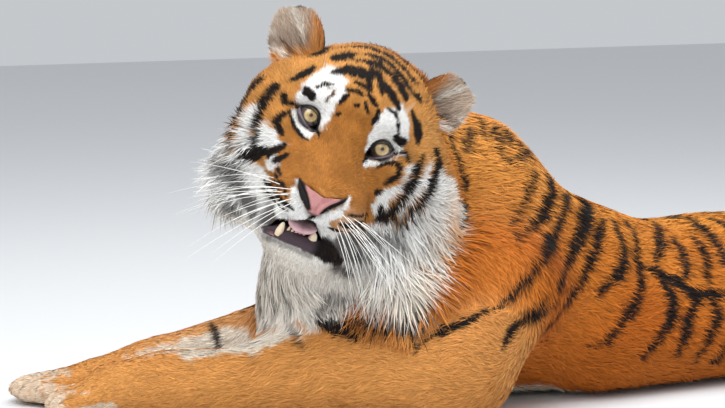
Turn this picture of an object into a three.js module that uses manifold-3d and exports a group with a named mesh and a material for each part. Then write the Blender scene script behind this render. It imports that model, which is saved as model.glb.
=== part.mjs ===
// Siberian tiger, life size, lying on its chest with the head turned to its left.
// Millimetres, +Z up, floor at Z = 0. The tiger faces -X, its left side is -Y.
import * as THREE from 'three';
import { mergeVertices } from 'three/addons/utils/BufferGeometryUtils.js';
import Manifold3d from 'manifold-3d';

const wasm = await Manifold3d();
wasm.setup();

// ---- driving dimensions ----
const PARTING = 0.3; // clear gap between neighbouring parts
const SINK = 5; // how far a resting mass is pressed past the floor before the floor trims it

const EYE_POINT = [-175, -142, 432]; // midpoint between the eyes
const HEAD_TURN = 58.4; // towards the tiger's left
const HEAD_LIFT = 4.5; // face raised
const HEAD_TILT = 24.5; // crown leans to the tiger's left
const FACE_YAW = 3.5; // muzzle a little further left than the brow
const FACE_DROP = 2; // muzzle a little lower than the brow
const EYE_SPACING = 114;
const EYE_RADIUS = 18;
const SKULL = [128, 117, 112]; // half length, half width, half height
const MUZZLE_REACH = 88;
const MUZZLE_TWIST = 6; // the lips rise towards the tiger's left
const EAR_SPACING = 236;
const EAR_HALF = [25, 40, 46]; // half depth, half width, half height

const CHEST_HALF_WIDTH = 178;
const CHEST_HALF_HEIGHT = 172;
const LOIN_HALF_WIDTH = 168;
const LOIN_HALF_HEIGHT = 136;
const RUMP_X = 1040;
const TAIL_RADIUS = [46, 34, 27];

const FINE = 18; // facet sizes
const FACE = 30;
const TOE = 27;
const TAIL = 36;
const LIMB = 52;
const NECK = 60;
const BODY = 78;

// ---- frames ----
const unit = (degrees) => THREE.MathUtils.degToRad(degrees);
const headFrame = new THREE.Matrix4();
{
  const spin = (x, y, z, degrees) =>
    new THREE.Matrix4().makeRotationAxis(new THREE.Vector3(x, y, z).normalize(), unit(degrees));
  headFrame
    .makeTranslation(...EYE_POINT)
    .multiply(spin(0, 0, 1, 180 + HEAD_TURN))
    .multiply(spin(0, 1, 0, -HEAD_LIFT))
    .multiply(spin(1, 0, 0, -HEAD_TILT))
    .multiply(spin(0, 0, 1, FACE_YAW))
    .multiply(spin(0, 1, 0, FACE_DROP));
}
const snoutFrame = headFrame
  .clone()
  .multiply(new THREE.Matrix4().makeTranslation(0, 4, -100))
  .multiply(new THREE.Matrix4().makeRotationX(unit(MUZZLE_TWIST)))
  .multiply(new THREE.Matrix4().makeTranslation(0, 0, 100));
const headPoint = (x, y, z) => new THREE.Vector3(x, y, z).applyMatrix4(headFrame).toArray();

// ---- masses: each is a signed distance, negative inside, joined smoothly over `blend` ----
function ball(centre, half, blend = 30) {
  const [cx, cy, cz] = centre;
  const [ax, ay, az] = half;
  return {
    blend,
    at: (x, y, z) => {
      const px = (x - cx) / ax;
      const py = (y - cy) / ay;
      const pz = (z - cz) / az;
      const k = Math.hypot(px, py, pz);
      return (k * (k - 1)) / (Math.hypot(px / ax, py / ay, pz / az) + 1e-9);
    },
  };
}

function cone(a, b, ra, rb, blend = 30) {
  const [ux, uy, uz] = [b[0] - a[0], b[1] - a[1], b[2] - a[2]];
  const long = ux * ux + uy * uy + uz * uz;
  return {
    blend,
    at: (x, y, z) => {
      const [px, py, pz] = [x - a[0], y - a[1], z - a[2]];
      const t = Math.min(1, Math.max(0, (px * ux + py * uy + pz * uz) / long));
      return Math.hypot(px - t * ux, py - t * uy, pz - t * uz) - (ra + (rb - ra) * t);
    },
  };
}

function inFrame(frame, mass) {
  const e = frame.clone().invert().elements;
  return {
    ...mass,
    at: (x, y, z) =>
      mass.at(
        e[0] * x + e[4] * y + e[8] * z + e[12],
        e[1] * x + e[5] * y + e[9] * z + e[13],
        e[2] * x + e[6] * y + e[10] * z + e[14],
      ),
  };
}

const inHead = (mass) => inFrame(headFrame, mass);
const inSnout = (mass) => inFrame(snoutFrame, mass);
function flesh(...groups) {
  const masses = groups.flat();
  return (x, y, z) => {
    let d = 1e3;
    for (const m of masses) {
      const near = m.at(x, y, z);
      const h = Math.max(m.blend - Math.abs(d - near), 0) / m.blend;
      d = Math.min(d, near) - h * h * m.blend * 0.25;
    }
    return d;
  };
}

// ---- the tiger's masses ----
const chest = [
  ball([205, 0, 158], [290, CHEST_HALF_WIDTH, CHEST_HALF_HEIGHT], 60),
  ball([-66, 14, 158], [156, 154, 174], 60),
  ball([236, 0, 238], [92, 78, 92], 50),
];
const loin = [
  ball([610, 0, LOIN_HALF_HEIGHT - SINK], [320, LOIN_HALF_WIDTH, LOIN_HALF_HEIGHT], 70),
  cone([300, -112, 76], [760, -104, 76], 82, 80, 50),
  cone([300, 112, 76], [760, 104, 76], 82, 80, 50),
];
const rump = [
  ball([RUMP_X - 30, 0, 150], [245, 140, 140], 60),
  ball([RUMP_X + 60, 0, 165], [140, 120, 105], 60),
];
const neck = [
  cone([-90, 40, 372], [116, 0, 306], 124, 147, 60),
  inHead(cone([-62, 6, -100], [-92, 28, -185], 88, 74, 50)),
];

const head = [
  ball([-95, 0, 20], SKULL, 30),
  ball([-118, 34, 52], [106, 90, 94], 30),
  ball([-18, 0, 32], [62, 85, 60], 30),
  ball([-58, -84, -32], [78, 70, 86], 34),
  ball([-58, 84, -32], [78, 70, 86], 34),
  ball([-90, -100, 4], [50, 54, 58], 30),
  ball([-90, 98, 4], [50, 52, 58], 30),
  cone([8, 0, -14], [103, 0, -99], 41, 30, 26),
  ball([-82, -92, -102], [60, 64, 92], 30),
  ball([-92, 116, -78], [62, 96, 122], 30),
  cone([4, -44, -56], [80, -36, -94], 33, 30, 24),
  cone([4, 44, -56], [80, 36, -94], 33, 30, 24),
].map(inHead);
const lips = [
  ball([MUZZLE_REACH, -34, -104], [40, 35, 31], 14),
  ball([MUZZLE_REACH, 34, -104], [40, 35, 31], 14),
  cone([-20, 0, -104], [56, 0, -104], 56, 28, 30),
].map(inSnout);
const jaw = [
  cone([-20, -42, -154], [56, -24, -174], 42, 29, 24),
  cone([-20, 38, -154], [56, 18, -174], 42, 29, 24),
  ball([60, -3, -184], [33, 36, 28], 20),
].map(inSnout);

// One foreleg from its shoulder point, elbow, wrist and toe positions; `girth` is its radius at
// the elbow, wrist and mid paw, and `knuckle` the height of the toe joints' centres.
function foreleg(shoulder, scapula, [elbow, wrist, toes], girth, knuckle) {
  const along = new THREE.Vector3().subVectors(
    new THREE.Vector3(...toes),
    new THREE.Vector3(...wrist),
  );
  const side = new THREE.Vector3(-along.y, along.x, 0).normalize();
  const on = (t, across, z) => [
    wrist[0] + along.x * t + side.x * across,
    wrist[1] + along.y * t + side.y * across,
    z,
  ];
  return {
    upper: [
      cone(shoulder, scapula, 76, 66, 40),
      cone([scapula[0] - 110, (shoulder[1] + elbow[1]) / 2, 190], elbow, 82, 74, 40),
    ],
    fore: [cone(elbow, wrist, girth[0], girth[1], 36)],
    paw: [
      cone(wrist, on(0.46, 0, girth[2] - 1), girth[1], girth[2], 22),
      ...[-41, -14, 14, 41].map((across, i) => {
        const reach = i === 0 || i === 3 ? 0.8 : 0.88;
        return cone(on(0.45, across * 0.7, knuckle), on(reach, across, 20), 26, 23, 10);
      }),
    ],
  };
}
const LEFT_FORE = [
  [-8, -194, 82],
  [-350, 64, 51],
  [-506, 176, 46],
];
const RIGHT_FORE = [
  [50, 174, 94],
  [-290, 232, 46],
  [-514, 304, 46],
];
const leftFore = foreleg([-70, -128, 188], [224, -80, 250], LEFT_FORE, [84, 53, 45], 42);
const rightFore = foreleg([-40, 124, 188], [224, 80, 250], RIGHT_FORE, [97, 50, 34], 30);

// One folded hind leg; side is -1 for the tiger's left and +1 for its right.
function hindleg(side) {
  const across = side * 262;
  return {
    thigh: [
      ball([985, side * 150, 150], [175, 88, 140], 50),
      cone([930, side * 175, 150], [815, side * 205, 125], 98, 76, 40),
    ],
    shank: [cone([820, side * 212, 100], [1140, side * 236, 50], 72, 44, 30)],
    foot: [
      cone([1150, side * 240, 44], [880, across, 38], 42, 38, 24),
      ...[-38, -13, 13, 38].map((offset, i) => {
        const reach = i === 0 || i === 3 ? 792 : 778;
        return cone([860, across + offset * 0.7, 36], [reach, across + offset, 21], 26, 24, 10);
      }),
    ],
  };
}
const leftHind = hindleg(-1);
const rightHind = hindleg(1);

const tailPath = new THREE.CatmullRomCurve3(
  [
    [1190, 0, 190],
    [1275, 8, 120],
    [1355, 25, 48],
    [1465, 75, 32],
    [1530, 175, 28],
    [1530, 290, 26],
    [1450, 385, 24],
    [1330, 430, 22],
  ].map((p) => new THREE.Vector3(...p)),
);
const tailSteps = 16;
const tail = Array.from({ length: tailSteps }, (_, i) => {
  const radius = (t) =>
    t < 0.5
      ? THREE.MathUtils.lerp(TAIL_RADIUS[0], TAIL_RADIUS[1], t * 2)
      : THREE.MathUtils.lerp(TAIL_RADIUS[1], TAIL_RADIUS[2], t * 2 - 1);
  const [t0, t1] = [i / tailSteps, (i + 1) / tailSteps];
  const [a, b] = [tailPath.getPointAt(t0).toArray(), tailPath.getPointAt(t1).toArray()];
  return cone(a, b, radius(t0), radius(t1), 12);
});

const trunk = [...chest, ...loin, ...rump];
const shoulders = [...leftFore.upper, ...rightFore.upper];
const thighs = [...leftHind.thigh, ...rightHind.thigh];
const forequarter = (leg) => flesh(trunk, neck, leg.upper, leg.fore, leg.paw);
const hindquarter = (leg) => flesh(trunk, leg.thigh, leg.shank, leg.foot);
const legless = flesh(
  trunk,
  neck,
  shoulders,
  thighs,
  leftFore.fore,
  rightFore.fore,
  leftHind.shank,
  rightHind.shank,
  tail.slice(0, 6),
);
const headAndNeck = flesh(trunk, neck, shoulders, head, lips, jaw);

// ---- surfaces: one vertex per crossed cell, settled on the masses' own surface ----
function surface(field, low, high, cell) {
  const n = low.map((v, i) => Math.ceil((high[i] - v) / cell) + 1);
  const at = (i, j, k) => (k * n[1] + j) * n[0] + i;
  const value = new Float64Array(n[0] * n[1] * n[2]);
  for (let k = 0; k < n[2]; k++)
    for (let j = 0; j < n[1]; j++)
      for (let i = 0; i < n[0]; i++) {
        const rim = [i, j, k].some((v, a) => v === 0 || v === n[a] - 1);
        const d = field(low[0] + i * cell, low[1] + j * cell, low[2] + k * cell);
        value[at(i, j, k)] = rim ? Math.max(d, cell / 2) : d || 1e-6;
      }
  const corner = Array.from({ length: 8 }, (_, c) => [c & 1, (c >> 1) & 1, c >> 2]);
  const owner = new Map();
  const points = [];
  for (let k = 0; k < n[2] - 1; k++)
    for (let j = 0; j < n[1] - 1; j++)
      for (let i = 0; i < n[0] - 1; i++) {
        const v = corner.map(([a, b, c]) => value[at(i + a, j + b, k + c)]);
        const inside = v.filter((d) => d < 0).length;
        if (inside === 0 || inside === 8) continue;
        const sum = [0, 0, 0];
        let crossed = 0;
        for (let p = 0; p < 8; p++)
          for (const bit of [1, 2, 4]) {
            const q = p | bit;
            if (q === p || v[p] < 0 === v[q] < 0) continue;
            const t = v[p] / (v[p] - v[q]);
            for (let a = 0; a < 3; a++)
              sum[a] += corner[p][a] + t * (corner[q][a] - corner[p][a]);
            crossed++;
          }
        owner.set(at(i, j, k), points.length);
        points.push([i, j, k].map((g, a) => low[a] + cell * (g + sum[a] / crossed)));
      }
  for (const p of points) settle(field, p, cell);
  return solid(points.flat(), facets(value, owner, points, n, at));
}

function settle(field, p, cell) {
  const h = 0.5;
  const start = [...p];
  for (let step = 0; step < 3; step++) {
    const d = field(...p);
    const g = [0, 1, 2].map((a) => {
      const q = [...p];
      q[a] += h;
      return (field(...q) - d) / h;
    });
    const size = g[0] * g[0] + g[1] * g[1] + g[2] * g[2] + 1e-9;
    for (let a = 0; a < 3; a++) {
      const next = p[a] - (d * g[a]) / size;
      p[a] = THREE.MathUtils.clamp(next, start[a] - cell * 0.4, start[a] + cell * 0.4);
    }
  }
}

function facets(value, owner, points, n, at) {
  const index = [];
  const apart = (a, b) => Math.hypot(...points[a].map((v, i) => v - points[b][i]));
  for (let k = 0; k < n[2] - 1; k++)
    for (let j = 0; j < n[1] - 1; j++)
      for (let i = 0; i < n[0] - 1; i++)
        for (let axis = 0; axis < 3; axis++) {
          const step = [0, 0, 0];
          step[axis] = 1;
          const here = value[at(i, j, k)];
          const there = value[at(i + step[0], j + step[1], k + step[2])];
          if (here < 0 === there < 0) continue;
          const [u, w] = [(axis + 1) % 3, (axis + 2) % 3];
          const around = [
            [0, 0],
            [-1, 0],
            [-1, -1],
            [0, -1],
          ].map(([du, dw]) => {
            const c = [i, j, k];
            c[u] += du;
            c[w] += dw;
            return owner.get(at(...c));
          });
          const [a, b, c, d] = here < 0 ? around : around.reverse();
          if (apart(a, c) < apart(b, d)) index.push(a, b, c, a, c, d);
          else index.push(a, b, d, b, c, d);
        }
  return index;
}

// ---- solids and cutters ----
function solid(positions, index) {
  return new wasm.Manifold(
    new wasm.Mesh({
      numProp: 3,
      vertProperties: new Float32Array(positions),
      triVerts: new Uint32Array(index),
    }),
  );
}

function solidOf(geometry) {
  const bare = geometry.clone();
  bare.deleteAttribute('normal');
  bare.deleteAttribute('uv');
  const merged = mergeVertices(bare, 1e-3);
  return solid(merged.attributes.position.array, merged.index.array);
}

const place = (geometry, frame) => solidOf(geometry.applyMatrix4(frame ?? new THREE.Matrix4()));

function block(low, high, grow = 0, frame) {
  const size = low.map((v, i) => high[i] - v + 2 * grow);
  const mid = low.map((v, i) => (v + high[i]) / 2);
  return place(new THREE.BoxGeometry(...size).translate(...mid), frame);
}

function egg(centre, half, grow = 0, frame, around = 10) {
  const g = new THREE.SphereGeometry(1, around, Math.round(around * 0.6));
  return place(g.scale(...half.map((h) => h + grow)).translate(...centre), frame);
}

// A straight sleeve from a to b, flat at both ends.
function sleeve(a, b, ra, rb, grow = 0, frame, around = 8) {
  const [from, to] = [new THREE.Vector3(...a), new THREE.Vector3(...b)];
  const axis = new THREE.Vector3().subVectors(to, from);
  const g = new THREE.CylinderGeometry(rb + grow, ra + grow, axis.length() + 2 * grow, around);
  g.applyQuaternion(
    new THREE.Quaternion().setFromUnitVectors(new THREE.Vector3(0, 1, 0), axis.normalize()),
  );
  const mid = from.add(to).multiplyScalar(0.5);
  return place(g.translate(mid.x, mid.y, mid.z), frame);
}

const sum = (...parts) => parts.reduce((a, b) => a.add(b));
const less = (whole, ...cuts) => cuts.reduce((a, b) => a.subtract(b), whole);
const floor = block([-3000, -3000, -400], [3000, 3000, 0]);
const between = (a, b, t) => a.map((v, i) => v + (b[i] - v) * t);

// Regions that part the limbs, the head and the tail from the trunk.
function foreRegions(side, elbow, wrist, toes) {
  const past = between(elbow, wrist, 0.16);
  return {
    upper: (g) =>
      sum(
        egg([70, side * 205, 160], [215, 108, 205], g),
        sleeve(between(elbow, wrist, -0.3), past, 112, 104, g),
      ),
    fore: (g) => sleeve(past, between(wrist, toes, 0.02), 104, 84, g),
    paw: (g) => sleeve(between(wrist, toes, 0.02), between(wrist, toes, 1.3), 100, 100, g),
  };
}
const cutLeft = foreRegions(-1, ...LEFT_FORE);
const cutRight = foreRegions(1, ...RIGHT_FORE);

function hindRegions(side) {
  const y = (v) => [Math.min(side * v[0], side * v[1]), Math.max(side * v[0], side * v[1])];
  const [outer0, outer1] = y([150, 420]);
  return {
    thigh: (g) => egg([935, side * 235, 170], [240, 128, 175], g),
    shank: (g) => block([700, outer0, 0], [1240, outer1, 96], g),
    foot: (g) => block([700, side > 0 ? 216 : -420, -40], [960, side > 0 ? 420 : -216, 76], g),
  };
}

const headCut = (g) => egg([-16, 14, -44], [190, 256, 228], g, headFrame, 14);
const muzzleCut = (g) => block([44, -120, -300], [220, 120, -6], g, headFrame);
const jawCut = (g) => block([2, -90, -290], [200, 86, -134], g, snoutFrame);
const eye = (side, g) =>
  egg([1, (side * EYE_SPACING) / 2, 0], [EYE_RADIUS, EYE_RADIUS, EYE_RADIUS], g, headFrame);
const lidOpening = (side) =>
  sleeve([-2, (side * EYE_SPACING) / 2, 0], [60, side * 66, 4], 13, 30, 0, headFrame, 10);
const nose = (g) => egg([118, -2, -96], [18, 34, 21], g, snoutFrame);
const tongue = (g) => egg([64, -8, -136], [46, 23, 8], g, snoutFrame);

function ear(side, g, cupped) {
  const frame = headFrame
    .clone()
    .multiply(new THREE.Matrix4().makeTranslation(-98, (side * EAR_SPACING) / 2, 102))
    .multiply(new THREE.Matrix4().makeRotationX(unit(side * -22)))
    .multiply(new THREE.Matrix4().makeRotationZ(unit(side * 14)));
  const outer = egg([0, 0, 0], EAR_HALF, g, frame, 12);
  if (!cupped) return outer;
  const cup = EAR_HALF.map((h, i) => h - [5, 7, 7][i]);
  return outer
    .subtract(egg([15, 0, 3], cup, 0, frame))
    .subtract(block([6, -80, -80], [80, 80, 80], 0, frame));
}

const canine = (side, g) =>
  sleeve([76, side * 22 - 9, -166], [87, side * 24 - 9, -136], 7.5, 2.5, g, snoutFrame, 8);

function incisors(g) {
  const across = [-12.5, -7.5, -2.5, 2.5, 7.5, 12.5];
  const tooth = (y) => {
    const x = 88 - (y * y) / 60;
    return sleeve([x, y - 9, -162], [x + 2, y - 9, -147], 3.6, 2.6, g, snoutFrame, 4);
  };
  return sum(...across.map(tooth));
}

// ---- parts ----
const tiger = new THREE.Group();
tiger.name = 'siberian_tiger';

function part(name, body, colour, roughness = 0.85) {
  const trimmed = body.subtract(floor).getMesh();
  const geometry = new THREE.BufferGeometry();
  geometry.setAttribute('position', new THREE.BufferAttribute(trimmed.vertProperties, 3));
  geometry.setIndex(new THREE.BufferAttribute(trimmed.triVerts, 1));
  const material = new THREE.MeshStandardMaterial({ color: colour, roughness, metalness: 0 });
  material.name = name;
  const mesh = new THREE.Mesh(geometry, material);
  mesh.name = name;
  tiger.add(mesh);
}

const ORANGE = 0xb86f2c;
const CREAM = 0xd8cfc0;
const G = PARTING;

const mouthPieces = (g) => [canine(-1, g), canine(1, g), incisors(g), tongue(g)];
const facePieces = (g) => [nose(g), eye(-1, g), eye(1, g), ear(-1, g), ear(1, g)];

// Head
const headLow = headPoint(-20, 0, -30).map((v) => v - 290);
const headHigh = headPoint(-20, 0, -30).map((v) => v + 290);
const headBody = surface(headAndNeck, headLow, headHigh, FACE);
const snoutLow = headPoint(80, 0, -110).map((v) => v - 165);
const snoutHigh = headPoint(80, 0, -110).map((v) => v + 165);
const snoutBody = surface(headAndNeck, snoutLow, snoutHigh, FINE);

part(
  'head',
  less(
    headBody.intersect(headCut(0)),
    muzzleCut(G),
    jawCut(G),
    ...facePieces(G),
    lidOpening(-1),
    lidOpening(1),
    tongue(G),
  ),
  ORANGE,
);
part(
  'muzzle',
  less(
    snoutBody.intersect(headCut(0)).intersect(muzzleCut(0)),
    jawCut(G),
    nose(G),
    ...mouthPieces(G),
  ),
  ORANGE,
);
part(
  'lower_jaw',
  less(snoutBody.intersect(headCut(0)).intersect(jawCut(0)), ...mouthPieces(G)),
  CREAM,
);
part('nose', nose(0), 0xc0888c, 0.5);
part('tongue', tongue(0), 0xba8f99, 0.5);
part('lower_canine_left', canine(1, 0), 0xe6d9b8, 0.4);
part('lower_canine_right', canine(-1, 0), 0xe6d9b8, 0.4);
part('lower_incisors', incisors(0), 0xe6d9b8, 0.4);
part('eye_left', eye(1, 0), 0xc8aa6e, 0.15);
part('eye_right', eye(-1, 0), 0xc8aa6e, 0.15);
part('ear_left', ear(1, 0, true), 0xa5907a);
part('ear_right', ear(-1, 0, true), 0xa5907a);

// Neck and trunk
const foreCuts = [cutLeft, cutRight].flatMap((leg) => [leg.upper(G), leg.fore(G), leg.paw(G)]);
const hindCuts = [-1, 1].flatMap((side) => [
  hindRegions(side).thigh(G),
  hindRegions(side).shank(G),
]);
const trunkBody = surface(legless, [-380, -420, -124], [1400, 420, 560], BODY);
const neckBody = surface(headAndNeck, [-420, -330, 30], [340, 280, 580], NECK);
const neckCut = (g) => sleeve([-280, 92, 415], [95, 0, 268], 330, 400, g);
const tailCut = (g) => block([1215, -120, -60], [1800, 600, 400], g);
const chestCut = block([-262, -600, -60], [450, 600, 600]);
const loinCut = block([450 + G, -600, -60], [800, 600, 600]);
const rumpCut = block([800 + G, -600, -60], [1500, 600, 600]);

part('neck', less(neckBody.intersect(neckCut(0)), headCut(G), ...foreCuts), ORANGE);
const bare = less(trunkBody, neckCut(G), headCut(G), ...foreCuts, ...hindCuts, tailCut(G));
part('chest', bare.intersect(chestCut), ORANGE);
part('loin', bare.intersect(loinCut), ORANGE);
part('rump', bare.intersect(rumpCut), ORANGE);

// Forelegs
function addForeleg(name, leg, region, low, high) {
  const field = forequarter(leg);
  const coarse = surface(field, low, high, LIMB);
  const fine = surface(field, low, high, TOE);
  const headAway = headCut(G);
  part(`upper_foreleg_${name}`, less(coarse.intersect(region.upper(0)), headAway), ORANGE);
  part(`forearm_${name}`, less(coarse.intersect(region.fore(0)), region.upper(G), headAway), ORANGE);
  part(
    `forepaw_${name}`,
    less(fine.intersect(region.paw(0)), region.fore(G), region.upper(G)),
    CREAM,
  );
}
addForeleg('left', leftFore, cutLeft, [-640, -400, -60], [420, 330, 520]);
addForeleg('right', rightFore, cutRight, [-640, -70, -60], [420, 460, 520]);

// Hind legs
function addHindleg(name, leg, side) {
  const region = hindRegions(side);
  const low = [600, side > 0 ? 0 : -440, -60];
  const high = [1340, side > 0 ? 440 : 0, 440];
  const coarse = surface(hindquarter(leg), low, high, LIMB);
  const fine = surface(hindquarter(leg), [640, low[1], -60], [1050, high[1], 200], TOE);
  part(
    `thigh_${name}`,
    less(coarse.intersect(region.thigh(0)), region.shank(G), region.foot(G)),
    ORANGE,
  );
  part(`shank_${name}`, less(coarse.intersect(region.shank(0)), region.foot(G)), ORANGE);
  part(`hind_foot_${name}`, fine.intersect(region.foot(0)), CREAM);
}
addHindleg('left', leftHind, -1);
addHindleg('right', rightHind, 1);

// Tail
const tailBody = surface(flesh(rump, tail), [1130, -140, -60], [1660, 560, 400], TAIL);
const midCut = (g) => block([1432, -60, -60], [1800, 310, 400], g);
const tipCut = (g) => block([1150, 310, -60], [1800, 600, 400], g);
const wholeTail = tailBody.intersect(tailCut(0));
part('tail_base', less(wholeTail, midCut(G), tipCut(G)), ORANGE);
part('tail_middle', less(wholeTail.intersect(midCut(0)), tipCut(G)), ORANGE);
part('tail_tip', wholeTail.intersect(tipCut(0)), 0x2a211c);

export default tiger;
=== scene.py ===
"""Siberian tiger lying on its chest: skin, coat, markings, face, camera and light."""

import math

import bmesh
import bpy
import numpy as np
from mathutils import Matrix, Vector
from mathutils.bvhtree import BVHTree


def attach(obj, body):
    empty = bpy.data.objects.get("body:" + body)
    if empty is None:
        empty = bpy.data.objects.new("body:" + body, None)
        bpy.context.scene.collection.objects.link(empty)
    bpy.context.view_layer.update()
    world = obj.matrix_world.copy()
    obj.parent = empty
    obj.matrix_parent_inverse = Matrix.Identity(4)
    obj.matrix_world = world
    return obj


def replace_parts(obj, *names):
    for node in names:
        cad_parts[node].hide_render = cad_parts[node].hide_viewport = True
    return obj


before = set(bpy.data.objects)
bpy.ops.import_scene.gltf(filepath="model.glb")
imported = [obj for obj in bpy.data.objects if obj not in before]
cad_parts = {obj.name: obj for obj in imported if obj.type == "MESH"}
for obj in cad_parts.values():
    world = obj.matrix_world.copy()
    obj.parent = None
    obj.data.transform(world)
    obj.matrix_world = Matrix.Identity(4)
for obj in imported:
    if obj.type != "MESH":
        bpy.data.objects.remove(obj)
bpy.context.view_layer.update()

MM = 0.001

# ---------------------------------------------------------------- frames, in millimetres
EYE_POINT = (-175, -142, 432)  # midpoint between the eyes
EYE_X = 1  # each eyeball's centre is this far in front of it
EYE_R = 18.3


def spin(axis, degrees):
    return Matrix.Rotation(math.radians(degrees), 4, axis)


HEAD = Matrix.Translation(EYE_POINT) @ spin("Z", 238.4) @ spin("Y", -4.5) @ spin("X", -24.5)
HEAD = HEAD @ spin("Z", 3.5) @ spin("Y", 2)
HEAD_R = np.array(HEAD.to_3x3())
HEAD_O = np.array(HEAD.translation)


def to_head(points):
    """Millimetres of the scene to the head's own: forward, to its left, up."""
    return (points - HEAD_O) @ HEAD_R


def from_head(points):
    return np.asarray(points, float) @ HEAD_R.T + HEAD_O


# ---------------------------------------------------------------- small mathematics
def step(low, high, v):
    """A smooth rise from 0 at low to 1 at high."""
    t = np.clip((v - low) / (high - low), 0, 1)
    return t * t * (3 - 2 * t)


def unit(v):
    return v / (np.linalg.norm(v, axis=-1, keepdims=True) + 1e-9)


def dot(a, b):
    return (a * b).sum(-1)


def laid_flat(way, normal):
    """A direction pressed down onto the surface."""
    return unit(way - dot(way, normal)[:, None] * normal)


def wobble(points, size, seed):
    """Smooth noise in about -1..1 that changes over `size` millimetres."""
    r = np.random.default_rng(seed)
    total = np.zeros(len(points))
    for _ in range(7):
        wave = r.normal(size=3)
        wave *= r.uniform(0.6, 1.7) * 2 * math.pi / (size * np.linalg.norm(wave)) * 0.55
        total += np.sin(points @ wave + r.uniform(0, 6.3))
    return total / 2.6


def near(points, centre, radii):
    """1 at the centre, fading to 0 over the radii."""
    d = (points - np.array(centre)) / np.array(radii)
    return np.exp(-dot(d, d))


def stroke_depth(points, path):
    """How far inside a brush stroke each point lies. The last number of each node is half its width."""
    best = np.full(len(points), -1e3)
    nodes = np.array(path, float)
    for p, q in zip(nodes[:-1], nodes[1:]):
        u = q[:-1] - p[:-1]
        t = np.clip(((points - p[:-1]) @ u) / (u @ u + 1e-9), 0, 1)
        gap = points - p[:-1] - t[:, None] * u
        best = np.maximum(best, p[-1] + (q[-1] - p[-1]) * t - np.sqrt(dot(gap, gap)))
    return best


def ink(points, strokes, ragged, soft):
    """Darkness 0..1 of a set of strokes. `ragged` is added to each stroke's edge."""
    best = np.full(len(points), -1e3)
    for path in strokes:
        nodes = np.array(path, float)
        reach = nodes[:, -1].max() + 12
        low = nodes[:, :-1].min(0) - reach
        high = nodes[:, :-1].max(0) + reach
        inside = np.where(((points > low) & (points < high)).all(1))[0]
        if len(inside):
            best[inside] = np.maximum(best[inside], stroke_depth(points[inside], path))
    return step(-soft, soft, best + ragged)


def outline_depth(flat, outline):
    """Distance to a closed outline, above 0 inside it."""
    pts = np.array(outline, float)
    best = np.full(len(flat), 1e9)
    odd = np.zeros(len(flat), bool)
    for p, q in zip(pts, np.roll(pts, -1, 0)):
        u = q - p
        t = np.clip(((flat - p) @ u) / (u @ u), 0, 1)
        gap = flat - p - t[:, None] * u
        best = np.minimum(best, np.sqrt(dot(gap, gap)))
        cross = (p[1] > flat[:, 1]) != (q[1] > flat[:, 1])
        at = (q[0] - p[0]) * (flat[:, 1] - p[1]) / (q[1] - p[1] + 1e-9) + p[0]
        odd ^= cross & (flat[:, 0] < at)
    return np.where(odd, best, -best)


def srgb(r, g, b):
    """A colour in the linear values that shaders take."""
    c = np.array([r, g, b], float) / 255
    return np.where(c <= 0.04045, c / 12.92, ((c + 0.055) / 1.055) ** 2.4)


def mix(a, b, t):
    t = np.asarray(t)
    if t.ndim == 1:
        t = t[:, None]
    return a + (b - a) * t


# ---------------------------------------------------------------- the body's lines
TRUNK_LIE = (1, 0, -0.32)
ELBOW_L, WRIST_L, TOES_L = (-8, -194, 82), (-350, 64, 51), (-506, 176, 42)
ELBOW_R, WRIST_R, TOES_R = (50, 174, 94), (-290, 232, 46), (-514, 304, 40)
TAIL_LINE = [
    (1190, 0, 190),
    (1275, 8, 120),
    (1355, 25, 48),
    (1465, 75, 32),
    (1530, 175, 28),
    (1530, 290, 26),
    (1450, 385, 24),
    (1330, 430, 22),
]
TAIL_GIRTH = (44, 25)


def part(name, line, girth, hair, lie=None):
    """A length of body. hair is its tufts' length, width, lift and the coat's depth."""
    return dict(name=name, line=line, girth=girth, hair=hair, lie=lie)


def hind_foot(side):
    """A hind foot's heel and toes; side is -1 on the left and 1 on the right."""
    return [(1150, side * 240, 44), (790, side * 262, 30)]


HEAD_LINE = [tuple(from_head([-105, 0, 5])), tuple(from_head([45, 0, -70]))]
TRUNK_HAIR = (28, 2.3, 0.1, 7)
SHOULDER_HAIR = (26, 2.2, 0.1, 7)
FORELEG_HAIR = (18, 1.9, 0.1, 5.5)
PAW_HAIR = (9, 1.6, 0.12, 3.5)
PARTS = [
    part("head", HEAD_LINE, (112, 58), (10, 1.6, 0.2, 6)),
    part("neck", [(-110, 30, 372), (116, 0, 300)], (120, 145), (32, 2.4, 0.13, 9), (1, 0.1, -0.45)),
    part("chest", [(-60, 14, 165), (250, 0, 170)], (158, 170), (30, 2.4, 0.12, 8), TRUNK_LIE),
    part("loin", [(320, 0, 140), (850, 0, 145)], (165, 142), TRUNK_HAIR, TRUNK_LIE),
    part("rump", [(900, 0, 150), (1090, 0, 165)], (140, 112), TRUNK_HAIR, TRUNK_LIE),
]
for side, name in ((-1, "left"), (1, "right")):
    upper = [(-60, side * 120, 185), (110, side * 120, 190)]
    PARTS.append(part("upper_" + name, upper, (84, 84), SHOULDER_HAIR, (0.3, 0, -1)))
PARTS += [
    part("fore_left", [ELBOW_L, WRIST_L], (84, 53), FORELEG_HAIR),
    part("fore_right", [ELBOW_R, WRIST_R], (97, 50), FORELEG_HAIR),
    part("paw_left", [WRIST_L, TOES_L], (45, 28), PAW_HAIR),
    part("paw_right", [WRIST_R, TOES_R], (40, 28), PAW_HAIR),
]
for side, name in ((-1, "left"), (1, "right")):
    thigh = [(985, side * 150, 150), (830, side * 200, 120)]
    shank = [(820, side * 212, 100), (1140, side * 236, 50)]
    PARTS += [
        part("thigh_" + name, thigh, (125, 80), SHOULDER_HAIR, (0.5, 0, -1)),
        part("shank_" + name, shank, (72, 44), (18, 2.0, 0.1, 5.5)),
        part("foot_" + name, hind_foot(side), (42, 30), (9, 1.7, 0.12, 3.5)),
    ]
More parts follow.
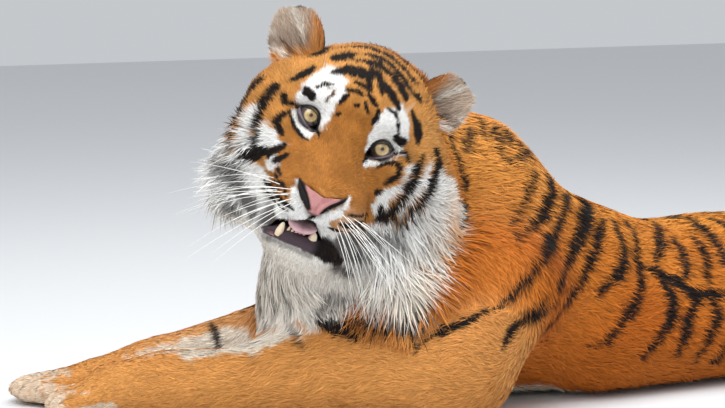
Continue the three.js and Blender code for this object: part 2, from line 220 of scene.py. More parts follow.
PARTS.append(part("tail", TAIL_LINE, TAIL_GIRTH, (22, 2.2, 0.16, 8)))
NAMES = [p["name"] for p in PARTS]


def along(points, line, girth):
    """Distance outside a tapered line, the line's direction there, and the run so far."""
    line = np.array(line, float)
    runs = np.concatenate([[0], np.cumsum(np.linalg.norm(np.diff(line, axis=0), axis=1))])
    best = np.full(len(points), 1e9)
    way = np.zeros((len(points), 3))
    run = np.zeros(len(points))
    for i, (p, q) in enumerate(zip(line[:-1], line[1:])):
        u = q - p
        t = np.clip((points - p) @ u / (u @ u), 0, 1)
        here = runs[i] + t * (runs[i + 1] - runs[i])
        radius = girth[0] + (girth[1] - girth[0]) * here / runs[-1]
        d = np.linalg.norm(points - p - t[:, None] * u, axis=1) - radius
        nearer = d < best
        best[nearer] = d[nearer]
        way[nearer] = unit(u)
        run[nearer] = here[nearer]
    return best, way, run


def face_ness(hp):
    """1 on the head and its ruff, 0 where the neck and the throat begin."""
    back = step(-152, -112, hp[:, 0])
    low = step(-238, -206, hp[:, 2])
    left = step(246, 216, hp[:, 1] + 0.12 * np.abs(hp[:, 2] + 60))
    return back * low * left * step(-230, -200, hp[:, 1])


def survey(points):
    """Which parts each point belongs to, as weights, with each part's direction and run."""
    found = [along(points, p["line"], p["girth"]) for p in PARTS]
    gap = np.stack([f[0] for f in found], 1)
    weight = np.exp(-np.clip(gap - gap.min(1, keepdims=True), 0, 300) / 16)
    weight[:, 0] = 1e-9
    weight /= weight.sum(1, keepdims=True)
    head = face_ness(to_head(points))
    weight *= 1 - head[:, None]
    weight[:, 0] = head
    return weight, found


def head_lie(hp):
    """The coat's lie on the head: away from the nose, down over the cheeks and the chin."""
    y, z = hp[:, 1], hp[:, 2]
    away = unit(hp - np.array([150, 0, -78]))
    down = step(-10, -110, z) * step(45, 110, np.abs(y))
    away[:, 2] -= 1.1 * down
    away[:, 1] += 0.35 * down * np.sign(y)
    chin = step(-150, -185, z)
    away[:, 2] -= 0.8 * chin
    away[:, 0] -= 0.25 * chin
    return unit(away) @ HEAD_R.T


def head_hair(hp):
    """Length, width, lift and depth of the coat on the head."""
    x, y, z = hp[:, 0], np.abs(hp[:, 1]), hp[:, 2]
    crown = step(40, 105, z)
    long = 6.5 + 8 * crown + 6 * step(0, -110, x)
    ear_root = near(np.stack([x, y, z], 1), (-84, 112, 70), (44, 34, 30))
    long = long + 12 * ear_root
    cheek = step(70, 120, y) * step(90, -20, z)
    ruff = step(84, 130, y) * step(-20, -90, z) * step(45, -5, x)
    throat = step(-185, -222, z)
    long = long + 12 * cheek + 42 * np.maximum(ruff, 0.7 * throat)
    wide = 1.2 + 0.012 * np.clip(long - 6, 0, 60) + 0.3 * step(14, 40, long)
    lift = 0.16 + 0.16 * crown + 0.16 * cheek + 0.1 * ruff + 0.2 * ear_root
    depth = 3 + 3 * crown + 3 * step(0, -90, x) + 5 * cheek + 8 * ruff + 5 * throat
    return np.stack([long, wide, lift, depth], 1)


def coat_at(points, weight, found):
    """The lie, and the length, width, lift and depth of the coat at each point."""
    hp = to_head(points)
    lie = np.zeros((len(points), 3))
    hair = np.zeros((len(points), 4))
    for i, p in enumerate(PARTS):
        w = weight[:, i : i + 1]
        if p["name"] == "head":
            lie += w * head_lie(hp)
            hair += w * head_hair(hp)
            continue
        way = found[i][1] if p["lie"] is None else unit(np.array(p["lie"], float))
        lie += w * way
        hair += w * np.array(p["hair"], float)
    throat = near(points, (-150, -60, 300), (90, 120, 90))
    hair[:, 0] += 22 * throat
    bib = near(points, (-215, -20, 180), (80, 90, 110))
    hair[:, 0] += 14 * bib
    lie[:, 2] -= 0.9 * np.maximum(throat, bib)
    return lie, hair


# ---------------------------------------------------------------- skin
APART = ["eye_left", "eye_right", "ear_left", "ear_right", "nose", "tongue"]
APART += ["lower_canine_left", "lower_canine_right", "lower_incisors"]
# The solids that the skin stands for, and those that it is shaped over.
FLESH = [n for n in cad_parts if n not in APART]
UNDER_SKIN = FLESH + ["nose"]
VOXEL = 8.4  # the mesh width at which the solids are welded, in millimetres


def flesh_mesh():
    """The solids under the skin, welded into one mesh."""
    verts, faces, start = [], [], 0
    for name in UNDER_SKIN:
        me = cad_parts[name].data
        verts += [v.co[:] for v in me.vertices]
        faces += [[start + i for i in p.vertices] for p in me.polygons]
        start = len(verts)
    me = bpy.data.meshes.new("flesh")
    me.from_pydata(verts, [], faces)
    holder = bpy.data.objects.new("flesh", me)
    bpy.context.scene.collection.objects.link(holder)
    welded = holder.modifiers.new("weld", "REMESH")
    welded.mode = "VOXEL"
    welded.voxel_size = VOXEL * MM
    done = holder.evaluated_get(bpy.context.evaluated_depsgraph_get())
    out = bpy.data.meshes.new_from_object(done)
    bpy.data.objects.remove(holder)
    return out


def arrays(me):
    """A mesh's points in millimetres, and its edges."""
    v = np.empty(len(me.vertices) * 3)
    me.vertices.foreach_get("co", v)
    e = np.empty(len(me.edges) * 2, int)
    me.edges.foreach_get("vertices", e)
    return v.reshape(-1, 3) * 1000, e.reshape(-1, 2)


def biggest_shell(me):
    """Drops the hollows inside, so only the outer skin is left."""
    v, e = arrays(me)
    label = np.arange(len(v))
    while True:
        low = np.minimum(label[e[:, 0]], label[e[:, 1]])
        fresh = label.copy()
        np.minimum.at(fresh, e[:, 0], low)
        np.minimum.at(fresh, e[:, 1], low)
        fresh = fresh[fresh]
        if (fresh == label).all():
            break
        label = fresh
    keep = np.bincount(label).argmax()
    bm = bmesh.new()
    bm.from_mesh(me)
    bm.verts.ensure_lookup_table()
    bmesh.ops.delete(bm, geom=[bm.verts[i] for i in np.where(label != keep)[0]], context="VERTS")
    bm.to_mesh(me)
    bm.free()


def mean_round(values, e, count):
    """The mean of each point's neighbours along the edges."""
    total = np.stack(
        [
            np.bincount(e[:, 0], values[e[:, 1], k], len(values))
            + np.bincount(e[:, 1], values[e[:, 0], k], len(values))
            for k in range(values.shape[1])
        ],
        1,
    )
    return total / count[:, None]


def relax(v, e, rounds, weight):
    """Evens out the surface where weight is high, keeping its girth."""
    count = np.bincount(e.ravel(), minlength=len(v)).astype(float)
    weight = np.asarray(weight, float)[:, None] * np.ones((len(v), 1))
    before = v.copy()
    for _ in range(rounds):
        v = v + (mean_round(v, e, count) - v) * 0.55 * weight
    lost = before - v
    for _ in range(rounds):
        lost = lost + (mean_round(lost, e, count) - lost) * 0.55 * weight
    return v + lost


def vertex_normals(me):
    n = np.empty(len(me.vertices) * 3)
    me.vertices.foreach_get("normal", n)
    return n.reshape(-1, 3)


def triangles(me):
    me.calc_loop_triangles()
    tris = np.empty(len(me.loop_triangles) * 3, int)
    me.loop_triangles.foreach_get("vertices", tris)
    return tris.reshape(-1, 3)


def store(me, v):
    me.vertices.foreach_set("co", (v * MM).ravel())
    me.update()


def near_face(p):
    """True where the face needs finer forms."""
    hp = to_head(p)
    return (hp[:, 0] > -48) & (np.abs(hp[:, 1]) < 108) & (hp[:, 2] > -205) & (hp[:, 2] < 90)


def near_toes(p):
    return toe_form(p)[0] > 0.02


def refine(me, choose):
    """Smaller faces where the forms need them."""
    bm = bmesh.new()
    bm.from_mesh(me)
    bm.verts.ensure_lookup_table()
    fine = choose(np.array([v.co[:] for v in bm.verts]) * 1000)
    edges = [d for d in bm.edges if fine[d.verts[0].index] and fine[d.verts[1].index]]
    bmesh.ops.subdivide_edges(bm, edges=edges, cuts=1, use_grid_fill=True, smooth=0.4)
    bmesh.ops.triangulate(bm, faces=[f for f in bm.faces if len(f.verts) > 4])
    bm.to_mesh(me)
    bm.free()


# The ends of the feet, each from the heel to the toes.
FEET = [(WRIST_L, TOES_L), (WRIST_R, TOES_R)]
FEET += [hind_foot(side) for side in (-1, 1)]
TOE_WIDE = 23  # from one gap between toes to the next


def toe_form(p):
    """How far each point is onto the toes, and where across them: 1 on a toe, -1 in the gap."""
    reach = np.zeros(len(p))
    wave = np.zeros(len(p))
    for heel, tip in FEET:
        tip = np.array(tip, float)
        way = unit((tip - heel) * (1, 1, 0))
        behind = (tip - p) @ way
        across = (p - tip) @ np.array([-way[1], way[0], 0])
        end = step(70, 22, behind) * step(64, 56, np.abs(across)) * step(-70, -60, behind)
        end = end * step(96, 86, p[:, 2])
        wave = np.where(end > reach, -np.cos(2 * math.pi * across / TOE_WIDE), wave)
        reach = np.maximum(reach, end)
    return reach, wave


# Eyes: each eye's middle, and its almond opening measured along the slant of the lids.
EYES = {"right": (-58, 4), "left": (56, 2)}
LID_SLANT = (0.83, -0.56)
LID_LONG = 19.5
LID_UP = 8.4
LID_DOWN = 9.8
LID_SHIFT = 2.5  # the opening reaches this much further inward
LID_DROOP = 4.5  # both corners lie this far below the middle line


def almond(y, z, grow=0):
    """Above 0 inside the eye's opening; y runs from the outer corner to the inner."""
    e = y * LID_SLANT[0] + z * LID_SLANT[1] - LID_SHIFT
    f = z * LID_SLANT[0] - y * LID_SLANT[1] + LID_DROOP * np.clip(e / LID_LONG, -1, 1) ** 2
    bow = np.sqrt(np.clip(1 - (e / (LID_LONG + grow)) ** 2, 0, 1)) ** 1.35
    lids = np.minimum((LID_UP + grow) * bow - f, f + (LID_DOWN + grow) * bow)
    return np.minimum(lids, LID_LONG + grow - np.abs(e))


def eye_yz(hp, name):
    """Across toward the nose, and up, from the middle of one eye."""
    y0, z0 = EYES[name]
    inward = 1 if name == "right" else -1
    return (hp[:, 1] - y0) * inward, hp[:, 2] - z0


# The mouth's edges, the dark lower lip and the nose leather as (across, up) on the face.
UPPER_LIP = [
    (-56, -172), (-46, -163), (-40, -149), (-28, -144), (-16, -138), (-4, -130), (5, -127),
    (12, -133), (21, -141), (30, -150),
]
LOWER_LIP = [
    (-56, -172), (-42, -164), (-32, -158), (-21, -155), (-3, -153), (14, -154), (22, -153),
    (30, -150),
]
LIP_ZONE = [
    (-58, -172), (-44, -163), (-32, -156), (-21, -153), (-3, -151), (14, -152), (22, -151),
    (30, -147), (34, -156), (34, -168), (24, -172), (5, -171), (-17, -173), (-37, -174),
    (-50, -178),
]
NOSE_OUTLINE = [
    (-40, -78), (-28, -85), (-19, -86), (-11, -87), (2, -90), (13, -86), (24, -82), (35, -76),
    (32, -85), (21, -97), (13, -107), (6, -116), (0, -119), (-9, -118), (-17, -112), (-28, -103),
    (-37, -91),
]


def mouth_gap(hp):
    """Above 0 inside the open mouth."""
    up = np.interp(hp[:, 1], *np.array(UPPER_LIP).T)
    low = np.interp(hp[:, 1], *np.array(LOWER_LIP).T)
    inside = np.minimum(up - hp[:, 2], hp[:, 2] - low)
    return np.where(hp[:, 0] > 15, inside, -99)


# Hollows beside the muzzle and behind the eye as (across, up, half width).
CHEEK_CREASE = [(36, -10, 5), (42, -40, 6), (58, -66, 7), (72, -82, 6)]
TEMPLE_HOLLOW = [(84, -4, 5), (104, 6, 6)]


def sculpt(hp):
    """The face's own forms, in head millimetres."""
    x, y, z = hp.T
    out = hp.copy()
    push = np.zeros(len(hp))
    for s in (-1, 1):
        here = np.stack([x, y * s, z], 1)
        push = push + 5 * near(here, (25, 58, 30), (60, 24, 13))
        push = push + 3 * near(here, (105, 36, -106), (40, 22, 20))
        push = push - 3.5 * near(here, (30, 34, 2), (60, 12, 22))
        crease = stroke_depth(here[:, 1:], CHEEK_CREASE)
        push = push - 4 * step(-9, 4, crease)
        push = push + 3 * near(here, (20, 70, -34), (60, 26, 16))
        temple = stroke_depth(here[:, 1:], TEMPLE_HOLLOW)
        push = push - 3 * step(-8, 4, temple)
    push = push + 3 * near(hp, (70, -3, -186), (50, 26, 14))
    roll = z - np.interp(y, *np.array(LOWER_LIP).T) + 9
    push = push + 11 * np.exp(-((roll / 9) ** 2)) * step(48, 26, np.abs(y + 6)) * step(30, 55, x)
    push = push - 3 * np.exp(-((y / 9) ** 2)) * step(0, 40, z) * step(120, 60, z)
    seat = outline_depth(hp[:, 1:], NOSE_OUTLINE)
    push = push - 12 * step(-2.5, 2.5, seat) * step(70, 95, x)
    push = push - 5 * np.exp(-(((y + 2) / 6) ** 2)) * step(-114, -120, z) * step(-140, -126, z)
    out[:, 0] += push * step(-40, 10, x)
    for name in EYES:
        ey, ez = eye_yz(hp, name)
        inside = almond(ey, ez, 4)
        deep = step(-5, 3, inside) * (x > -15)
        out[:, 0] = out[:, 0] * (1 - deep) + np.minimum(out[:, 0], -4) * deep
    gap = mouth_gap(hp)
    out[:, 0] -= 46 * step(-1, 9, gap) * step(20, 60, x)
    return out


# How far the skin may be evened out on each part; everywhere else it is 1.
EASE = {"head": 0.22, "paw_left": 0.1, "paw_right": 0.1, "foot_left": 0.12, "foot_right": 0.12}
EASE.update({"fore_left": 0.6, "fore_right": 0.6, "tail": 0.6})


def make_skin():
    """One closed skin over the solids, evened out, set in by the coat's depth, then sculpted."""
    me = flesh_mesh()
    biggest_shell(me)
    v, e = arrays(me)
    weight, _ = survey(v)
    calm = np.full(len(v), 1.0)
    for name, ease in EASE.items():
        calm -= weight[:, NAMES.index(name)] * (1 - ease)
    v = relax(v, e, 60, calm)
    store(me, v)
    for choose in (near_face, near_face, near_toes):
        refine(me, choose)
    v, e = arrays(me)
    hp = to_head(v)
    front = step(-60, -20, hp[:, 0]) * face_ness(hp)
    v = relax(v, e, 26, front)
    store(me, v)
    n = vertex_normals(me)
    weight, found = survey(v)
    _, hair = coat_at(v, weight, found)
    count = np.bincount(e.ravel(), minlength=len(v)).astype(float)
    for _ in range(8):
        n = mean_round(n, e, count)
    v = v - unit(n) * hair[:, 3:4]
    hp = to_head(v)
    hp[:, 2] -= 11 * near(hp, (-60, 54, 125), (90, 44, 55))
    v = from_head(hp)
    facing = (step(-30, 0, hp[:, 0]) * face_ness(hp))[:, None]
    v = v + (from_head(sculpt(hp)) - v) * facing
    gap = mouth_gap(hp)
    v = relax(v, e, 3, facing[:, 0] * (gap < -4) * 0.8)
    reach, wave = toe_form(v)
    swell = reach * (5 * np.minimum(wave, 0.4) + 1) * step(-0.75, -0.25, n[:, 2])
    v = v + unit(n) * swell[:, None]
    v[:, 2] = np.maximum(v[:, 2], 1.0)
    store(me, v)
    me.name = "skin"
    return me


# ---------------------------------------------------------------- colours
RICH = srgb(186, 102, 30)
ORANGE = srgb(212, 136, 52)
GOLD = srgb(226, 164, 92)
FACE_TAN = srgb(168, 108, 46)
FACE_GOLD = srgb(202, 142, 74)
CREAM = srgb(232, 220, 202)
WHITE = srgb(240, 239, 235)
GREY = srgb(186, 176, 164)
INK = srgb(24, 17, 14)
BROWN = srgb(96, 58, 30)
PINK = srgb(204, 142, 140)
TONGUE = srgb(250, 204, 210)
LIP = srgb(74, 62, 68)
LIP_DARK = srgb(24, 19, 21)
BONE = srgb(236, 216, 186)

# Face markings in head millimetres: each stroke is a run of (across, up, half width).
FACE_STROKES = [
    # inner corners of the eyes
    [(-42, -10, 2), (-37, -14, 2.5), (-34, -19, 1)],
    [(44, -14, 2), (41, -18, 2.5), (38, -22, 1)],
    [(-80, 8, 3), (-86, 12, 1.5)],
    # outer and inner cheek bars of the right side
    [(-138, 22, 3), (-152, -15, 6), (-149, -45, 6), (-140, -78, 4)],
    [(-117, 21, 5), (-124, -8, 7), (-122, -31, 5), (-117, -53, 4), (-109, -68, 4)],
    [(-121, -86, 8), (-107, -79, 10), (-96, -68, 5), (-88, -70, 5), (-74, -50, 4)],
    [(-76, -76, 4), (-64, -58, 2)],
    # hook beneath the right eye
    [(-86, -3, 3), (-95, -13, 5), (-98, -26, 5), (-84, -36, 3.5)],
    [(-88, -2, 2.5), (-85, -7, 2.5), (-75, -18, 2), (-61, -26, 2), (-47, -28, 1)],
    [(-103, 15, 4), (-98, 5, 4), (-84, 11, 3)],
    # right brow
    [(-77, 34, 6), (-67, 31, 6)],
    [(-66, 45, 1.5), (-57, 54, 3), (-46, 58, 1.5)],
    # forehead, right of the middle
    [(-53, 72, 3), (-36, 84, 6), (-14, 88, 7), (2, 87, 4)],
    [(-60, 89, 2), (-46, 98, 5), (-32, 106, 3)],
    [(-102, 38, 2), (-90, 53, 4), (-79, 68, 2)],
    [(-93, 76, 2), (-80, 88, 4), (-67, 98, 2)],
    # forehead, middle
    [(-5, 105, 3), (6, 109, 5), (16, 106, 3)],
    [(-2, 98, 4), (-1, 82, 6), (7, 66, 3)],
    [(8, 97, 5), (17, 84, 4), (22, 74, 2)],
    [(-26, 60, 2), (-12, 64, 3), (0, 62, 2)],
    [(-20, 74, 2), (-6, 74, 4), (2, 70, 2)],
    [(-27, 38, 2), (-23, 48, 4), (-20, 54, 2)],
    [(-24, 22, 1.5), (-21, 25, 1.5)],
    [(-6, 45, 1.5), (-2, 47, 2.5)],
    [(7, 66, 3), (16, 60, 4), (24, 56, 2)],
    [(6, 55, 2), (14, 44, 3)],
    [(28, 51, 3), (29, 38, 4), (26, 30, 2)],
    # forehead, left of the middle
    [(20, 88, 3), (37, 79, 6), (54, 66, 3)],
    [(32, 101, 3), (47, 92, 6), (60, 80, 3)],
    [(18, 105, 3), (31, 102, 4)],
    # left brow
    [(38, 60, 0.8), (50, 58, 1.3), (60, 50, 1.4), (68, 34, 1.6), (68, 24, 2)],
    [(66, 26, 4), (77, 24, 7)],
    [(66, 93, 2), (76, 90, 4), (84, 84, 2)],
    [(76, 68, 2), (90, 54, 5), (97, 42, 6), (100, 32, 3)],
    # left eye's outer corner and the hook beneath
    [(75, 4, 2.5), (91, 14, 2), (98, 2, 3)],
    [(60, -26, 1.2), (74, -15, 2), (84, -8, 3), (92, -13, 3), (95, -23, 3), (88, -33, 4), (81, -40, 3)],
    [(76, -56, 4), (80, -53, 2)],
    # inner and outer cheek bars of the left side
    [(115, 19, 2), (117, -20, 7), (114, -48, 7), (107, -73, 6), (96, -92, 7)],
    [(92, -76, 5), (102, -88, 9), (112, -80, 5)],
    [(133, 32, 3), (144, 11, 6), (145, -16, 7), (144, -43, 7), (134, -72, 6), (122, -92, 3)],
    # corners of the mouth
    [(30, -152, 6), (46, -160, 9), (66, -170, 7)],
    [(52, -166, 8), (45, -169, 8), (37, -168, 7), (30, -170, 4)],
    # groove beneath the nose
    [(2, -114, 4), (-1, -121, 3), (-5, -129, 1.5)],
    # spots and rows on the whisker pads
    [(56, -103, 2), (64, -102, 2)],
    [(74, -92, 2), (76, -97, 2)],
    [(-67, -86, 2.5), (-65, -88, 2)],
    [(-66, -96, 2.5), (-64, -97, 2)],
    [(-64, -105, 2.5), (-61, -105, 2)],
    [(-56, -97, 3), (-52, -99, 2)],
    [(-50, -103, 2), (-47, -106, 1.5)],
    [(-77, -110, 2.5), (-61, -116, 3.5), (-44, -119, 3), (-31, -122, 1.5)],
    [(-73, -123, 2), (-55, -128, 2.5), (-36, -128, 1.5)],
    [(44, -98, 2), (54, -95, 3), (64, -92, 1.5)],
    [(38, -113, 2), (50, -113, 3.5), (66, -109, 2)],
    [(28, -126, 1.5), (38, -126, 3), (52, -125, 1.5)],
    [(70, -100, 2), (74, -112, 2.5), (80, -120, 1.5)],
]
# Thin brown lines over the right eye.
BROWN_STROKES = [
    [(-40, 56, 1), (-42, 45, 2.5), (-46, 33, 2)],
    [(-44, 54, 1), (-52, 50, 1.5)],
]
SOFT_STROKES = [
    # smudges low on the cheeks and beyond the left corner of the mouth
    [(-160, -122, 8), (-140, -118, 15), (-118, -114, 11)],
    [(-124, -124, 8), (-106, -132, 12), (-88, -144, 13), (-72, -158, 10)],
    [(-116, -160, 5), (-94, -172, 8)],
    [(114, -116, 6), (132, -118, 8), (148, -120, 5)],
    [(52, -150, 9), (74, -154, 14), (100, -158, 9)],
    [(62, -176, 7), (88, -186, 9)],
]
# Painted shade under the lower lip, dusky fur under the left whisker pad, pale fur above the nose.
UNDER_LIP_SHADE = [[(-56, -182, 3), (-34, -178, 4), (-14, -176, 4), (6, -175, 4), (22, -176, 4)]]
UNDER_PAD = [[(48, -145, 8), (63, -138, 12), (84, -131, 13), (106, -127, 12), (126, -126, 6)]]
ABOVE_NOSE = [[(-10, -82, 2), (4, -85, 4), (17, -81, 2)]]
# Bars across the top of the head as (along, across, half width).
CROWN_BARS = [
    [(-20, -40, 2), (-26, -8, 5), (-22, 26, 6), (-12, 60, 3)],
    [(-42, -28, 3), (-48, 6, 7), (-42, 48, 8), (-32, 76, 4)],
    [(-70, -60, 4), (-74, -22, 7), (-71, 24, 9), (-60, 70, 5)],
    [(-100, -42, 4), (-105, 0, 8), (-98, 44, 8), (-90, 82, 4)],
    [(-134, -52, 4), (-138, -10, 7), (-132, 40, 8), (-122, 74, 4)],
]
# The bar behind the right cheek as (along, up, half width).
TEMPLE_BARS = [[(-100, 52, 3), (-96, 12, 7), (-106, -28, 6), (-98, -60, 3)]]
# A painted shadow line behind the left cheek, where the head meets the neck, as (across, up, half width).
NECK_SHADOW_LINE = [
    [(148, 67, 2), (172, 39, 3.5), (200, 5, 4), (221, -41, 3.5), (230, -84, 1.5)],
]
# White ground on the face, as outlines of (across, up) in head millimetres.
WHITE_ZONES = [
    # right brow and the inner side of the eye
    [(-86, 12), (-86, 26), (-82, 44), (-75, 62), (-62, 78), (-44, 82), (-31, 72), (-26, 55),
     (-30, 36), (-31, 20), (-32, 4), (-37, -10), (-44, 0), (-70, 8)],
    # under the right eye
    [(-84, 6), (-76, 0), (-67, -9), (-54, -16), (-41, -16), (-42, -26), (-52, -27), (-64, -23),
     (-78, -13), (-87, -3)],
    # right cheek, between and behind its bars
    [(-116, -38), (-110, -30), (-98, -38), (-84, -47), (-70, -46), (-83, -54), (-91, -63),
     (-98, -71), (-109, -66), (-116, -52)],
    [(-139, -22), (-129, -16), (-124, -42), (-113, -68), (-119, -82), (-134, -78), (-140, -53)],
    [(-154, 26), (-156, -38), (-146, -66), (-137, -81), (-120, -90), (-93, -90), (-72, -103),
     (-71, -124), (-58, -140), (-44, -150), (-50, -182), (-90, -215), (-170, -200), (-190, -60),
     (-176, 10)],
    [(-87, -80), (-80, -67), (-71, -78), (-74, -94), (-84, -94)],
    # left brow
    [(35, -8), (31, 10), (30, 30), (31, 46), (36, 57), (48, 64), (57, 72), (66, 67), (76, 51),
     (82, 32), (83, 20), (90, 9), (82, 3), (60, 0)],
    # under the left eye
    [(40, -20), (51, -19), (66, -15), (76, -4), (82, -4), (74, -12), (62, -22), (50, -27), (41, -28)],
    # left cheek, between and behind its bars
    [(123, 21), (135, 8), (138, -9), (133, -35), (127, -62), (123, -78), (113, -73), (122, -40),
     (126, -13), (124, 6)],
    [(105, 3), (112, -9), (107, -29), (108, -47), (98, -60), (96, -79), (88, -90), (76, -79),
     (79, -58), (89, -46), (102, -31), (102, -13)],
    [(150, 8), (186, -9), (220, -34), (250, -64), (260, -110), (250, -170), (220, -230),
     (100, -230), (86, -160), (84, -112), (104, -94), (135, -82), (147, -50)],
    # whisker pads, lips and chin
    [(-41, -80), (-45, -96), (-38, -114), (-52, -123), (-75, -118), (-82, -130), (-66, -146),
     (-40, -152), (-26, -146), (-8, -134), (3, -130), (3, -116), (-12, -112), (-26, -104),
     (-36, -92)],
    [(37, -77), (38, -93), (34, -107), (24, -116), (40, -128), (64, -128), (88, -136), (84, -156),
     (50, -156), (28, -150), (12, -136), (0, -130), (0, -116), (10, -110), (22, -100), (32, -88)],
    [(-92, -170), (-58, -172), (-30, -166), (0, -164), (24, -160), (34, -148), (100, -140),
     (120, -240), (-120, -240)],
]
DARK_ZONES = [
    # dusky fur at both corners of the mouth
    [(-76, -158), (-80, -140), (-66, -128), (-48, -140), (-40, -150), (-44, -162), (-56, -174),
     (-66, -184)],
    [(12, -152), (34, -143), (48, -147), (54, -155), (50, -162), (42, -167), (32, -171),
     (20, -173), (6, -172)],
]


def oval(flat, a, b, half_a, half_b, slant):
    """About 1 inside a soft-edged ellipse."""
    t = math.radians(slant)
    da, db = flat[:, 0] - a, flat[:, 1] - b
    u = (da * math.cos(t) + db * math.sin(t)) / half_a
    v = (db * math.cos(t) - da * math.sin(t)) / half_b
    return step(1.25, 0.8, np.sqrt(u * u + v * v))


def face_colour(hp):
    """Tan and white ground, then the grey, dusky and black markings of the face, and painted shade under
    the lower lip.
    """
    x, y, z = hp.T
    flat = hp[:, 1:]
    rough = 0.7 * wobble(hp, 8, 21) + 0.7 * wobble(hp, 24, 22)
    tone = mix(FACE_TAN, FACE_GOLD, step(30, 75, z))
    tone = mix(tone, FACE_GOLD, 0.7 * step(70, 100, np.abs(y)))
    tone = mix(tone, FACE_TAN * 0.9, 0.5 * near(hp, (50, 0, -20), (80, 26, 50)))
    tone = mix(tone, RICH, 0.6 * step(-60, -120, x))
    tone = mix(tone, GOLD, 0.6 * near(hp[:, 1:], (122, 40), (34, 46)) * step(-90, -50, x))
    tone = tone * (1 + 0.09 * wobble(hp, 26, 25) + 0.07 * wobble(hp * (1, 1, 0.4), 7, 26))[:, None]
    pale = np.zeros(len(hp))
    for zone in WHITE_ZONES:
        pale = np.maximum(pale, step(-3.0, 2.5, outline_depth(flat, zone) + 2.2 * rough))
    pale *= step(-150, -120, x)
    low = 0.5 * step(-150, -200, z) + 0.5 * step(150, 210, y)
    colour = mix(tone, mix(WHITE, CREAM, low), pale)
    # Painted shade on the chin, under the lower lip.
    colour = mix(colour, GREY, 0.45 * near(hp, (50, -10, -190), (70, 60, 24)))
    outer = step(100, 150, np.abs(y)) * step(-20, -90, z)
    streak = step(-0.2, 0.9, wobble(hp * (1, 1, 0.35), 16, 31))
    colour = mix(colour, GREY, 0.55 * outer * streak * pale)
    patchy = step(-0.8, 0.8, wobble(hp * (1, 1, 0.3), 20, 32))
    fringe = step(170, 214, y) * step(-200, -120, z) * patchy
    colour = mix(colour, GOLD, 0.7 * fringe)
    right_cheek = 26 * step(118, 138, -y)
    front = step(-118, -95, x - right_cheek)
    dark = ink(flat, FACE_STROKES, rough + 0.7, 1.2) * front
    temple = step(112, 124, np.abs(y))
    dark = np.maximum(dark, ink(hp[:, ::2], TEMPLE_BARS, rough * 1.5, 2) * temple * (y < 0))
    soft = ink(flat, SOFT_STROKES, rough * 3, 6) * front * 0.85
    # Painted shade along the fur just under the lower lip.
    soft = np.maximum(soft, 0.6 * ink(flat, UNDER_LIP_SHADE, rough, 4) * step(10, 30, x))
    soft = np.maximum(soft, 0.85 * ink(flat, UNDER_PAD, rough * 4, 6) * step(-70, -30, x))
    for zone in DARK_ZONES:
        dusk = step(-4, 4, outline_depth(flat, zone) + 3 * rough)
        soft = np.maximum(soft, 0.9 * dusk * step(-20, 20, x))
    crown = ink(hp[:, :2], CROWN_BARS, rough * 2, 2.5) * step(84, 96, z)
    colour = mix(colour, BROWN, ink(flat, BROWN_STROKES, rough, 1.5) * front)
    pad_gap = near(flat, (50, -108), (24, 15)) * (1 - pale)
    colour = mix(colour, CREAM, 0.4 * pad_gap * step(20, 50, x))
    colour = mix(colour, FACE_GOLD, 0.7 * ink(flat, ABOVE_NOSE, rough, 3) * step(60, 90, x))
    colour = mix(colour, INK, np.maximum(dark, crown))
    return mix(colour, INK * 1.8, soft)


